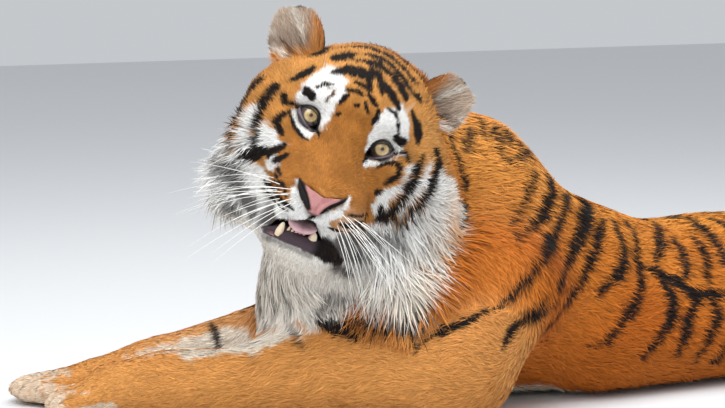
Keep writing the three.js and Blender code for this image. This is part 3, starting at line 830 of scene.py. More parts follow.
# Body markings of the left side as (along, girth, half width); girth runs down from the spine.
LEFT_STROKES = [
    # thin ends low on the side, and the line behind the elbow
    [(214, 333, 4), (185, 368, 3.5), (160, 398, 2.5), (126, 407, 1)],
    [(150, 366, 1), (105, 372, 2), (68, 378, 2.5), (36, 388, 1.5), (22, 396, 0.5)],
    [(335, 317, 5), (304, 355, 4), (274, 388, 2.5), (248, 417, 1)],
    [(404, 351, 5), (377, 374, 4), (345, 399, 2.5)],
    [(471, 392, 4), (459, 421, 2.5)],
    # behind the ear and on the nape
    [(138, 88, 3), (124, 112, 4), (120, 130, 4), (138, 135, 4), (172, 122, 2)],
    [(164, 82, 2), (182, 87, 3), (200, 90, 2)],
    [(128, 44, 2), (118, 66, 5), (104, 84, 3)],
    [(172, 62, 3), (160, 76, 5), (150, 100, 4)],
    [(206, 66, 3), (196, 78, 4), (176, 108, 4), (162, 118, 2)],
    [(96, 60, 2), (84, 84, 4), (66, 108, 3)],
    [(150, 60, 3), (136, 78, 4), (120, 92, 3)],
    # neck and shoulder
    [(195, 117, 2), (183, 140, 4), (165, 175, 5), (150, 200, 4), (132, 230, 4), (112, 250, 2)],
    [(215, 92, 4), (232, 95, 7), (221, 131, 9), (196, 180, 8), (173, 218, 6), (142, 253, 4), (105, 278, 2)],
    [(288, 70, 3), (241, 155, 6), (216, 200, 6), (196, 238, 6), (168, 280, 5), (132, 312, 3)],
    [(331, 49, 4), (313, 99, 10), (283, 154, 11), (258, 203, 10), (231, 251, 8), (209, 288, 6),
     (176, 323, 4), (149, 347, 2)],
    [(133, 352, 0.5), (99, 364, 1.5), (69, 372, 1)],
    [(326, 139, 2), (304, 177, 5), (283, 216, 6), (258, 260, 6), (237, 301, 6), (220, 336, 4),
     (197, 363, 2)],
    [(348, 125, 3), (346, 167, 5), (342, 206, 7), (325, 242, 7), (304, 274, 6), (280, 303, 4),
     (262, 327, 2)],
    # flank
    [(389, 103, 2), (389, 150, 4), (380, 189, 4), (366, 222, 4), (369, 250, 6), (362, 283, 7),
     (345, 311, 6), (325, 333, 5), (298, 356, 2)],
    [(485, 40, 2), (463, 115, 5), (450, 171, 6), (430, 213, 5), (412, 243, 4)],
    [(479, 152, 2), (476, 191, 5), (471, 231, 5), (465, 264, 5), (448, 275, 2)],
    [(390, 248, 3), (413, 263, 6), (433, 275, 6), (452, 294, 4)],
    [(413, 269, 4), (418, 298, 7), (418, 323, 8), (409, 344, 7), (395, 362, 6), (375, 375, 5),
     (349, 388, 2)],
    [(432, 278, 4), (451, 304, 6), (469, 325, 4)],
    [(454, 297, 4), (486, 308, 6), (521, 310, 4)],
    [(465, 327, 3), (447, 347, 5), (430, 369, 5), (414, 389, 4), (409, 406, 2)],
    [(495, 329, 3), (497, 350, 6), (483, 372, 6), (471, 394, 5), (462, 417, 2)],
    [(557, 30, 3), (550, 115, 6), (549, 178, 6), (548, 213, 5), (543, 248, 4)],
    [(517, 156, 2), (518, 199, 5), (510, 237, 5), (502, 274, 4), (501, 296, 2)],
    [(521, 312, 4), (540, 345, 6), (538, 380, 5), (509, 405, 4), (496, 431, 4)],
    [(590, 66, 4), (596, 120, 6), (590, 180, 6), (584, 236, 5), (560, 290, 3)],
    [(575, 300, 3), (585, 340, 6), (572, 385, 6), (550, 425, 3)],
]


def girth(points):
    """How far around the trunk each point lies from the spine, in millimetres of a 200 mm circle."""
    centre = 150 + 80 * step(350, 120, points[:, 0])
    return 200 * np.arctan2(np.abs(points[:, 1]), points[:, 2] - centre)


def flank_strokes(seed, first, last):
    """Bars that run down the side from the spine, some of them doubled and some broken."""
    r = np.random.default_rng(seed)
    made = []
    x = first
    while x < last:
        lean = r.uniform(-70, -20)
        reach = r.uniform(230, 400)
        begin = r.uniform(6, 60)
        thick = r.uniform(6, 9)
        bend = r.uniform(-14, 14)
        points = []
        for t in (0, 0.25, 0.5, 0.75, 1):
            wide = thick * math.sin(math.pi * min(0.16 + 0.74 * t, 1)) ** 0.8
            points.append((x + lean * t * t + bend * math.sin(5 * t), begin + reach * t, wide))
        made.append(points)
        if r.random() < 0.45:
            beside = []
            for i, (a, b, c) in enumerate(points[1:4], 1):
                beside.append((a + 27 - 7 * abs(i - 2), b + 14, c * 0.45))
            made.append(beside)
        if r.random() < 0.5:
            a, b, c = points[3]
            made.append([(a - 38, b + 30, 3), (a - 30, b + 60, 5), (a - 44, b + 90, 3)])
        x += r.uniform(46, 70)
    return made


REAR_LEFT = flank_strokes(5, 668, 1190)
REAR_RIGHT = flank_strokes(8, 668, 1190)
RIGHT_STROKES = [[(a * 0.97 + 12, b * 1.04 - 4, c) for a, b, c in path] for path in LEFT_STROKES]
# The pale ridge along the top of the left foreleg as (along, across, half width).
FORELEG_CREST = [
    [(-376, 70, 6), (-325, 32, 17), (-285, 8, 21), (-245, -22, 22), (-205, -60, 18), (-176, -86, 8)],
]
SPINE_DASHES = [[(x, 2, 5), (x + 26, 10, 8), (x + 44, 20, 4)] for x in range(300, 1180, 74)]
# Bars across the tops of the forelegs as (along, across, half width), seen from above.
LIMB_STROKES = [
    [(-205, 210, 3), (-210, 192, 7), (-214, 170, 5)],
    [(-214, -52, 3), (-216, -70, 6), (-212, -90, 3)],
    [(-150, 250, 3), (-140, 228, 6), (-132, 206, 3)],
    [(-80, 262, 3), (-76, 236, 6), (-70, 212, 3)],
]
# The line that runs on down the left shoulder as (along, across, up, half width).
SHOULDER_LINE = [
    [(172, -166, 270, 7), (159, -178, 258, 8), (108, -224, 220, 7), (77, -233, 195, 7),
     (34, -235, 174, 7), (-14, -235, 159, 7), (-54, -225, 149, 6), (-82, -215, 131, 5),
     (-95, -208, 117, 3)],
]
# The bar across the root of the left foreleg as (along, across, half width).
BREAST_STROKES = [
    [(-189, -85, 2), (-177, -102, 4), (-162, -120, 6), (-146, -142, 6), (-128, -163, 6),
     (-102, -177, 6), (-78, -194, 4)],
]
# Bars down the outer side of the folded hind legs as (along, up, half width).
HIND_STROKES = [
    [(850, 176, 4), (866, 130, 9), (878, 84, 8), (876, 50, 4)],
    [(905, 210, 4), (922, 160, 8), (934, 112, 7), (930, 70, 4)],
    [(968, 190, 4), (984, 140, 9), (990, 92, 7), (984, 52, 4)],
    [(1036, 170, 4), (1050, 120, 8), (1052, 72, 6)],
    [(1100, 140, 4), (1108, 96, 7), (1104, 60, 4)],
]
# Grey lines down the pale chest as (across, up, half width).
BIB_STROKES = [
    [(-8, 236, 2), (-4, 200, 4), (-8, 160, 6), (-6, 140, 3)],
    [(-70, 146, 2), (-82, 162, 4), (-96, 182, 4), (-112, 204, 2)],
    [(-86, 150, 1.5), (-100, 168, 3), (-112, 184, 2)],
    [(-40, 200, 1.5), (-48, 170, 3), (-42, 146, 2)],
    [(40, 230, 3), (54, 190, 5), (50, 150, 3)],
]


def weight_of(weight, *names):
    """The summed weight of some parts; a name that ends in _ stands for its left and its right."""
    whole = [n + side for n in names for side in (("left", "right") if n.endswith("_") else ("",))]
    return sum(weight[:, NAMES.index(n)] for n in whole)


def body_colour(p, n, weight, found):
    """Orange and pale ground, lighter on the back and darker low on the flank as painted light and shade,
    then the bars of trunk, limbs, chest and tail.
    """
    s = girth(p)
    trunk = weight_of(weight, "neck", "chest", "loin", "rump", "upper_", "thigh_")
    rough = 1.3 * wobble(p, 14, 41) + 1.4 * wobble(p, 46, 42)
    flat = np.stack([p[:, 0], s], 1) + np.stack([wobble(p, 70, 43), wobble(p, 70, 44)], 1) * 2
    # Painted light: lighter along the spine and darker down the sides, as lit from above, with a random
    # drift in tone.
    tone = mix(ORANGE, RICH, step(70, 330, s) + 0.15 * wobble(p, 120, 45))
    # Painted shade low on the flank, darker toward the ground.
    tone = mix(tone, RICH * 0.86, 0.6 * step(130, 60, p[:, 2]) * step(150, 260, p[:, 0]))
    fore_all = weight_of(weight, "fore_", "paw_")
    paws = weight_of(weight, "paw_")
    tone = mix(tone, CREAM, 0.25 * weight_of(weight, "fore_right"))
    tone = mix(tone, GOLD, 0.72 * fore_all + 0.3 * weight_of(weight, "neck"))
    body = 1 - fore_all
    belly = step(0.6, 0.95, -n[:, 2]) * step(60, 24, p[:, 2])
    pale = belly * step(130, 80, np.abs(p[:, 1])) * body
    bib = oval(p[:, 1:], -10, 190, 110, 150, 0) * step(-90, -165, p[:, 0]) * body
    pale = np.maximum(pale, bib)
    pale = np.maximum(pale, near(p, (-150, -50, 300), (120, 110, 90)) * step(-40, -110, p[:, 0]))
    for side in ("left", "right"):
        fore, paw = weight_of(weight, "fore_" + side), weight_of(weight, "paw_" + side)
        _, way, _ = found[NAMES.index("fore_" + side)]
        across = np.stack([-way[:, 1], way[:, 0], np.zeros(len(p))], 1)
        inner = dot(n, across) * (-1 if side == "left" else 1)
        if side == "left":
            crest = ink(p[:, :2], FORELEG_CREST, rough * 3, 9) * fore * step(-0.1, 0.3, n[:, 2])
            pale = np.maximum(pale, 0.9 * crest)
            inner = inner * 1.6 * step(-350, -280, p[:, 0]) * step(-60, -130, p[:, 0])
        pale = np.maximum(pale, fore * step(0.25, 0.8, inner) * 0.9)
        _, _, far = found[NAMES.index("paw_" + side)]
        toe = step(125, 180, far + 14 * wobble(p, 18, 49))
        sole = step(-0.1, -0.5, n[:, 2]) * step(60, 110, far)
        pale = np.maximum(pale, paw * np.maximum(0.8 * toe, sole))
    for side in ("left", "right"):
        foot = weight_of(weight, "foot_" + side)
        toe = 0.8 * step(120, 40, p[:, 0] - 740)
        pale = np.maximum(pale, foot * np.maximum(step(0.1, -0.4, n[:, 2]), toe))
    blend = pale + 0.1 * wobble(p, 30, 46) + 0.12 * wobble(p, 9, 48)
    pale = step(0.22, 0.62, blend) * (pale > 0.02)
    toes, wave = toe_form(p)
    light = mix(CREAM * np.ones((len(p), 3)), WHITE, step(-90, -150, p[:, 0]) * body)
    light = mix(light, CREAM, 0.55 * step(300, 200, p[:, 2]) * body)
    light = mix(light, GOLD, 0.28 * paws)
    colour = mix(tone, light, pale)
    # Painted shade in the gaps between the toes.
    between = toes * step(-0.45, -0.95, wave)
    colour = mix(colour, BROWN, 0.75 * between * step(-0.3, 0.1, n[:, 2] + 0.3))
    fat = rough + 1.2 + 2.2 * step(200, 380, p[:, 0])
    left_bars = ink(flat, LEFT_STROKES + REAR_LEFT, fat, 1.8)
    right_bars = ink(flat, RIGHT_STROKES + REAR_RIGHT, fat, 1.8)
    bars = np.where(p[:, 1] < 0, left_bars, right_bars)
    bars = np.maximum(bars, 0.9 * ink(flat, SPINE_DASHES, rough, 3))
    trunk = trunk + weight_of(weight, "fore_left") * step(-150, -110, p[:, 0])
    dark = bars * step(0.35, 0.7, trunk) * step(0.95, 0.4, pale)
    on_fore = np.clip(fore_all + 0.8 * weight_of(weight, "upper_"), 0, 1)
    above = step(-0.1, 0.15, n[:, 2]) * on_fore * step(60, 90, p[:, 2])
    dark = np.maximum(dark, ink(p[:, :2], LIMB_STROKES, rough, 2) * above * 0.95)
    hind = weight_of(weight, "thigh_", "shank_")
    outer = step(0.2, 0.6, np.abs(n[:, 1])) * hind * step(215, 235, np.abs(p[:, 1]))
    dark = np.maximum(dark, ink(p[:, ::2], HIND_STROKES, rough, 2) * outer * 0.95)
    facing = step(-0.2, -0.5, n[:, 0]) * step(-120, -150, p[:, 0])
    dark = np.maximum(dark, 0.8 * ink(p[:, 1:], BIB_STROKES, rough * 1.5, 4) * facing)
    dark = np.maximum(dark, ink(p, SHOULDER_LINE, rough, 2))
    breast = step(110, 125, p[:, 2]) * step(200, 180, p[:, 2]) * step(-50, -80, p[:, 0])
    dark = np.maximum(dark, ink(p[:, :2], BREAST_STROKES, rough, 2) * breast)
    _, _, run = found[NAMES.index("tail")]
    tail = weight_of(weight, "tail") * step(20, 60, run)
    rings = step(0.25, 0.6, np.sin(run / 76 * 2 * math.pi + 0.4 * wobble(p, 40, 47)))
    tip = step(770, 810, run)
    dark = np.maximum(dark, tail * np.maximum(rings, tip))
    return mix(colour, INK, dark)


def coat_colour(p, n, weight, found):
    """The coat's colour anywhere, the face's blended into the body's, with a painted shadow line behind the
    left cheek.
    """
    hp = to_head(p)
    on_head = np.clip(weight[:, 0] * 1.6 - 0.2, 0, 1) * face_ness(hp)
    on_head = step(0.25, 0.6, on_head)
    colour = body_colour(p, n, weight, found)
    face = on_head > 0.001
    if face.any():
        colour[face] = mix(colour[face], face_colour(hp[face]), on_head[face])
    # Painted shadow line behind the left cheek, where the head meets the neck.
    behind = step(-96, -110, hp[:, 0]) * step(-215, -185, hp[:, 0]) * (hp[:, 1] > 120)
    line = ink(hp[:, 1:], NECK_SHADOW_LINE, 1.5 * wobble(hp, 16, 51), 1.5)
    colour = mix(colour, INK * 1.4, line * behind)
    return np.clip(colour, 0.004, 0.96)


# ---------------------------------------------------------------- making meshes
def put(name, me, *materials):
    """Adds a mesh as a piece that rides the root body."""
    obj = bpy.data.objects.new(name, me)
    bpy.context.scene.collection.objects.link(obj)
    for m in materials:
        me.materials.append(m)
    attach(obj, "root")
    return obj


def mesh_of(name, verts, faces, colour):
    """A smooth mesh from millimetre points and a list of faces, with a colour for each point."""
    me = bpy.data.meshes.new(name)
    me.from_pydata([tuple(v) for v in np.asarray(verts) * MM], [], [tuple(f) for f in faces])
    bm = bmesh.new()
    bm.from_mesh(me)
    bmesh.ops.recalc_face_normals(bm, faces=bm.faces)
    bm.to_mesh(me)
    bm.free()
    me.polygons.foreach_set("use_smooth", [True] * len(me.polygons))
    paint(me, colour)
    me.update()
    return me


def paint(me, colour):
    """Lays a colour on each point."""
    layer = me.color_attributes.new("tint", "FLOAT_COLOR", "POINT")
    rgba = np.concatenate([colour, np.ones((len(colour), 1))], 1)
    layer.data.foreach_set("color", rgba.ravel().astype(np.float32))


def grid_faces(rows, cols, wrap=False):
    """Four-sided faces over rows of points, closed around if wrap is set."""
    faces = []
    for i in range(rows - 1):
        for j in range(cols if wrap else cols - 1):
            a, b = i * cols + j, i * cols + (j + 1) % cols
            faces.append((a, b, b + cols, a + cols))
    return faces


# ---------------------------------------------------------------- materials
def shader(name, roughness=0.6, specular=0.3, coat=0.0, sheen=0.0):
    m = bpy.data.materials.new(name)
    m.use_nodes = True
    bsdf = m.node_tree.nodes["Principled BSDF"]
    bsdf.inputs["Roughness"].default_value = roughness
    bsdf.inputs["Specular IOR Level"].default_value = specular
    bsdf.inputs["Coat Weight"].default_value = coat
    bsdf.inputs["Coat Roughness"].default_value = 0.04
    bsdf.inputs["Sheen Weight"].default_value = sheen
    return m, m.node_tree, bsdf


def tinted(name, scale, strength, bump=0.0, **kw):
    """The painted tint, broken up by a fine noise."""
    m, tree, bsdf = shader(name, **kw)
    tint = tree.nodes.new("ShaderNodeAttribute")
    tint.attribute_name = "tint"
    noise = tree.nodes.new("ShaderNodeTexNoise")
    noise.inputs["Scale"].default_value = scale
    noise.inputs["Detail"].default_value = 3
    spread = tree.nodes.new("ShaderNodeMapRange")
    spread.inputs["To Min"].default_value = 1 - strength
    spread.inputs["To Max"].default_value = 1 + strength
    blend = tree.nodes.new("ShaderNodeVectorMath")
    blend.operation = "SCALE"
    tree.links.new(noise.outputs["Fac"], spread.inputs["Value"])
    tree.links.new(tint.outputs["Color"], blend.inputs[0])
    tree.links.new(spread.outputs["Result"], blend.inputs["Scale"])
    tree.links.new(blend.outputs["Vector"], bsdf.inputs["Base Color"])
    if bump:
        lift = tree.nodes.new("ShaderNodeBump")
        lift.inputs["Strength"].default_value = bump
        lift.inputs["Distance"].default_value = 0.001
        tree.links.new(noise.outputs["Fac"], lift.inputs["Height"])
        tree.links.new(lift.outputs["Normal"], bsdf.inputs["Normal"])
    return m


SKIN_MAT = tinted("under_coat", 420, 0.16, 0.5, roughness=0.85, specular=0.12)
FUR_MAT = tinted("fur", 260, 0.14, 0.0, roughness=0.7, specular=0.14, sheen=0.03)
LIP_MAT = tinted("wet_lip", 500, 0.12, 0.3, roughness=0.38, specular=0.5, coat=0.15)
NOSE_MAT = tinted("nose_leather", 900, 0.1, 0.7, roughness=0.5, specular=0.4)
TONGUE_MAT = tinted("tongue_flesh", 1400, 0.12, 0.8, roughness=0.35, specular=0.5, coat=0.2)
TOOTH_MAT = tinted("tooth_enamel", 120, 0.06, 0.1, roughness=0.3, specular=0.5, coat=0.2)
EYE_MAT = tinted("eye_surface", 900, 0.08, 0.0, roughness=0.16, specular=0.5, coat=1.0)
WHISKER_MAT = tinted("whisker_hair", 60, 0.04, 0.0, roughness=0.45, specular=0.4)

# ---------------------------------------------------------------- tufts
def on_face(hp, w):
    return (w[:, 0] > 0.45) & (hp[:, 0] > -30) & (np.abs(hp[:, 1]) < 92) & (hp[:, 2] > -140)


def on_chin(hp, w):
    return (w[:, 0] > 0.45) & (hp[:, 0] > -60) & (np.abs(hp[:, 1]) < 92) & (hp[:, 2] <= -140)


def on_cheek(hp, w):
    return (w[:, 0] > 0.45) & (hp[:, 2] < 60)


# The coat's pieces; a tuft belongs to the first piece that takes it in.
COAT_PIECES = [
    ("coat_face_right", lambda hp, p, w: on_face(hp, w) & (hp[:, 1] < 0)),
    ("coat_face_left", lambda hp, p, w: on_face(hp, w)),
    ("coat_chin", lambda hp, p, w: on_chin(hp, w)),
    ("coat_cheek_right", lambda hp, p, w: on_cheek(hp, w) & (hp[:, 1] < 0)),
    ("coat_cheek_left", lambda hp, p, w: on_cheek(hp, w)),
    ("coat_crown", lambda hp, p, w: w[:, 0] > 0.45),
    ("coat_tail", lambda hp, p, w: weight_of(w, "tail") > 0.5),
    ("coat_foreleg_left", lambda hp, p, w: weight_of(w, "fore_left", "paw_left") > 0.5),
    ("coat_foreleg_right", lambda hp, p, w: weight_of(w, "fore_right", "paw_right") > 0.5),
    ("coat_hindleg_left", lambda hp, p, w: weight_of(w, "shank_left", "foot_left") > 0.5),
    ("coat_hindleg_right", lambda hp, p, w: weight_of(w, "shank_right", "foot_right") > 0.5),
    ("coat_neck", lambda hp, p, w: weight_of(w, "neck", "head") > 0.5),
    ("coat_shoulder_left", lambda hp, p, w: (p[:, 0] < 300) & (p[:, 1] < 0)),
    ("coat_shoulder_right", lambda hp, p, w: p[:, 0] < 300),
    ("coat_flank_left", lambda hp, p, w: (p[:, 0] < 700) & (p[:, 1] < 0)),
    ("coat_flank_right", lambda hp, p, w: p[:, 0] < 700),
    ("coat_haunch_left", lambda hp, p, w: p[:, 1] < 0),
    ("coat_haunch_right", lambda hp, p, w: p[:, 0] > -9e9),
]
SHARE = 1.0


def sample_roots(v, n, tris, density, seed):
    """Roots spread evenly over the triangles; density is per square millimetre at each point."""
    r = np.random.default_rng(seed)
    a, b, c = v[tris[:, 0]], v[tris[:, 1]], v[tris[:, 2]]
    area = np.linalg.norm(np.cross(b - a, c - a), axis=1) / 2
    want = area * density[tris].mean(1)
    count = np.floor(want + r.random(len(want))).astype(int)
    which = np.repeat(np.arange(len(tris)), count)
    u, w = r.random((2, len(which)))
    flip = u + w > 1
    u[flip], w[flip] = 1 - u[flip], 1 - w[flip]
    bary = np.stack([1 - u - w, u, w], 1)
    corner = tris[which]

    def blend(values):
        return (values[corner] * bary[:, :, None]).sum(1)

    return blend(v), unit(blend(n)), blend


def bare(hp):
    """1 where no tuft grows: eyes, nose leather, open mouth and lips."""
    gone = np.zeros(len(hp))
    front = hp[:, 0] > -12
    for name in EYES:
        ey, ez = eye_yz(hp, name)
        gone = np.maximum(gone, (almond(ey, ez, 3.6) > 0) * front)
    gone = np.maximum(gone, (nose_inside(hp) > -1.0) * (hp[:, 0] > 95))
    gap = mouth_gap(hp)
    gone = np.maximum(gone, (gap > -3) * (hp[:, 0] > 15))
    return np.maximum(gone, lip_band(hp) > 0.5)


def nose_inside(hp):
    return outline_depth(hp[:, 1:], NOSE_OUTLINE)


def lip_band(hp):
    """1 on the dark lower lip and its left corner."""
    return step(-1, 1, outline_depth(hp[:, 1:], LIP_ZONE)) * step(10, 30, hp[:, 0])


def unwrap(p, hp, name):
    """Where a root lies on the unrolled skin of its own piece, 0..1."""
    if name.startswith("coat_face") or name == "coat_chin":
        return np.stack([hp[:, 1] / 200 + 0.5, (hp[:, 2] + 230) / 330], 1)
    if name.startswith("coat_cheek") or name == "coat_crown":
        turn = np.arctan2(hp[:, 1], hp[:, 0] + 90) / (2 * math.pi) + 0.5
        return np.stack([turn, (hp[:, 2] + 250) / 400], 1)
    if name == "coat_tail":
        _, _, run = along(p, TAIL_LINE, TAIL_GIRTH)
        return np.stack([run / 830, np.arctan(p[:, 2] - 28) / 7 + 0.5], 1)
    if "leg" in name:
        side = np.sign(p[:, 1].mean())
        turn = np.arctan2(p[:, 1] - side * 200, p[:, 2] - 40) / 7 + 0.5
        return np.stack([(p[:, 0] + 560) / 1760, turn], 1)
    turn = np.arctan2(p[:, 1], p[:, 2] - 140) / (2 * math.pi) + 0.5
    return np.stack([p[:, 0], turn], 1)


def fit_square(uv):
    """Fits places on a piece into the unit square, with a small margin."""
    low, high = uv.min(0), uv.max(0)
    return 0.02 + 0.96 * (uv - low) / (high - low + 1e-9)


# One tuft: two root corners, two at mid length, one tip.
ALONG = np.array([0, 0, 0.5, 0.5, 1.0])
ACROSS = np.array([-0.5, 0.5, -0.42, 0.42, 0])
RISE = np.array([0, 0, 0.62, 0.62, 0.8])
# Brightness from root to tip: painted shade darkens the roots, where the hairs shade each other, and the
# tip is a little lighter.
SHADE = np.array([0.8, 0.8, 0.97, 0.97, 1.08])
LOOPS = np.array([1, 0, 2, 3, 3, 2, 4])


def tuft_mesh(name, root, normal, lie, hair, colour, uv, curl):
    """One ribbon for each root, with its own sway, size, tone and free normal."""
    count = len(root)
    r = np.random.default_rng(len(name) * 7 + 3)
    flat = laid_flat(lie, normal)
    sway = r.normal(0, 0.16, count) + curl
    side = np.cross(normal, flat)
    flat = unit(flat + side * sway[:, None])
    side = np.cross(normal, flat)
    tip_sway = r.normal(0, 0.12, count)
    long = hair[:, 0] * r.uniform(0.72, 1.2, count)
    wide = hair[:, 1] * r.uniform(0.75, 1.25, count)
    lift = hair[:, 2] * r.uniform(0.6, 1.5, count)
    roll = r.normal(0, 0.35, count)
    edge = unit(side + normal * roll[:, None])
    p = root[:, None, :] + flat[:, None, :] * (long[:, None] * ALONG)[:, :, None]
    p = p + edge[:, None, :] * (wide[:, None] * ACROSS)[:, :, None]
    p = p + side[:, None, :] * ((long * tip_sway)[:, None] * ALONG**2)[:, :, None]
    p = p + normal[:, None, :] * ((long * lift)[:, None] * RISE - 0.4)[:, :, None]
    # Each tuft's painted root shade, times a random tone.
    tone = colour * (SHADE[None, :] * r.normal(1, 0.13, count)[:, None])[:, :, None]
    p = p.reshape(-1, 3)
    p[:, 2] = np.maximum(p[:, 2], 0.6)
    me = bpy.data.meshes.new(name)
    me.vertices.add(count * 5)
    me.vertices.foreach_set("co", (p * MM).ravel())
    me.loops.add(count * 7)
    loops = (LOOPS[None, :] + 5 * np.arange(count)[:, None]).ravel()
    me.loops.foreach_set("vertex_index", loops.astype(np.int32))
    me.polygons.add(count * 2)
    starts = (np.array([0, 4])[None, :] + 7 * np.arange(count)[:, None]).ravel()
    me.polygons.foreach_set("loop_start", starts.astype(np.int32))
    me.polygons.foreach_set("use_smooth", np.ones(count * 2, bool))
    layer = me.uv_layers.new(name="OFBake")
    centre = fit_square(uv)
    patch = np.stack([ACROSS, ALONG - 0.5], 1) * 0.003
    corner = (centre[:, None, :] + patch[None, :, :]).reshape(-1, 2)
    layer.data.foreach_set("uv", corner[loops].astype(np.float32).ravel())
    paint(me, np.clip(tone.reshape(-1, 3), 0, 1))
    me.update(calc_edges=True)
    tilt = unit(normal + 0.35 * edge * r.normal(0, 1, count)[:, None] * 0.6 - 0.12 * flat)
    free = me.attributes.new("custom_normal", "FLOAT_VECTOR", "POINT")
    free.data.foreach_set("vector", np.repeat(tilt, 5, 0).ravel().astype(np.float32))
    return me


def grow_coat(me):
    """All tufts of the body and the head, shared out over the coat's pieces."""
    v, _ = arrays(me)
    n = vertex_normals(me)
    tris = triangles(me)
    weight, found = survey(v)
    lie, hair = coat_at(v, weight, found)
    hp = to_head(v)
    on_head = weight[:, 0] * face_ness(hp)
    cover = 4.4 + 1.4 * on_head
    density = cover / (0.62 * hair[:, 0] * hair[:, 1])
    hidden = step(-0.55, -0.9, n[:, 2]) * step(40, 14, v[:, 2])
    density *= 1 - 0.9 * hidden
    root, normal, blend = sample_roots(v, n, tris, density * SHARE, 3)
    weight, lie, hair = blend(weight), blend(lie), blend(hair)
    hp = to_head(root)
    keep = np.where(bare(hp) < 0.5)[0]
    root, normal, weight, lie, hair, hp = (a[keep] for a in (root, normal, weight, lie, hair, hp))
    flat = laid_flat(lie, normal)
    r = np.random.default_rng(23)
    stray = np.cross(normal, flat) * r.normal(0, 0.55, (len(root), 1)) * hair[:, 1:2]
    stray = stray + flat * r.normal(0, 0.08, (len(root), 1)) * hair[:, :1]
    colour = []
    for reach in (0.15, 0.5, 0.85):
        spot = root + stray + flat * hair[:, :1] * reach
        colour.append(coat_colour(spot, normal, *survey(spot)))
    colour = np.stack([colour[0], colour[0], colour[1], colour[1], colour[2]], 1)
    curl = 0.22 * wobble(root, 60, 61) + 0.12 * wobble(root, 24, 62)
    left = np.ones(len(root), bool)
    for name, belongs in COAT_PIECES:
        mine = np.where(left & belongs(hp, root, weight))[0]
        left[mine] = False
        if len(mine) == 0:
            continue
        uv = unwrap(root[mine], hp[mine], name)
        parts = (a[mine] for a in (root, normal, lie, hair, colour))
        made = tuft_mesh(name, *parts, uv, curl[mine])
        put(name, made, FUR_MAT)


def skin_behind(tree, point):
    """Where the face's skin lies straight behind a point in front of it, if it does."""
    start = from_head([point])[0] * MM
    hit = tree.ray_cast(Vector(start), Vector(-HEAD_R[:, 0]))[0]
    return None if hit is None else to_head(np.array(hit)[None] * 1000)[0]


# ---------------------------------------------------------------- eyes
GAZE = unit(np.array([0.985, 0.05, 0.06]))
IRIS_R = 10.4
PUPIL_R = 2.8
CORNEA_R = 11
IRIS_INNER = srgb(172, 128, 70)
IRIS_OUTER = srgb(206, 184, 130)
IRIS_RIM = srgb(92, 70, 42)
EYE_WHITE = srgb(60, 50, 46)  # dark, because the lids shade it
LID_GREY = srgb(122, 108, 116)


def eyeball(name):
    """A ball with the iris and the pupil on its front and a clear bulge over them."""
    y0, z0 = EYES[name]
    rows, cols = 40, 48
    side = unit(np.cross([0, 0, 1], GAZE))
    up = np.cross(GAZE, side)
    verts, colour = [], []
    r = np.random.default_rng(5)
    spokes = r.normal(0, 1, cols)
    for i in range(rows):
        a = math.radians(160) * (i / (rows - 1)) ** 1.25
        for j in range(cols):
            b = 2 * math.pi * j / cols
            off = EYE_R * math.sin(a)
            bulge = 1.5 * max(0, 1 - (off / CORNEA_R) ** 2) if a < 1.5 else 0
            ray = GAZE * math.cos(a) + (side * math.cos(b) + up * math.sin(b)) * math.sin(a)
            verts.append(np.array([EYE_X, y0, z0]) + ray * (EYE_R + bulge))
            if a < 1.5 and off < PUPIL_R:
                c = INK * 0.3
            elif a < 1.5 and off < IRIS_R:
                t = (off - PUPIL_R) / (IRIS_R - PUPIL_R)
                gold = mix(IRIS_INNER, IRIS_OUTER, min(1, t * 1.6))
                gold = gold * (1 + 0.1 * spokes[j])
                c = mix(gold, IRIS_RIM, max(0, (t - 0.74) / 0.26))
                # Painted shadow of the upper lid over the top of the iris.
                c = c * (1 - 0.5 * step(1, 9, off * math.sin(b)))
            else:
                c = EYE_WHITE
            colour.append(c)
    me = mesh_of("eyeball_" + name, from_head(verts), grid_faces(rows, cols, True), np.array(colour))
    obj = put("eyeball_" + name, me, EYE_MAT)
    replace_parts(obj, "eye_" + name)


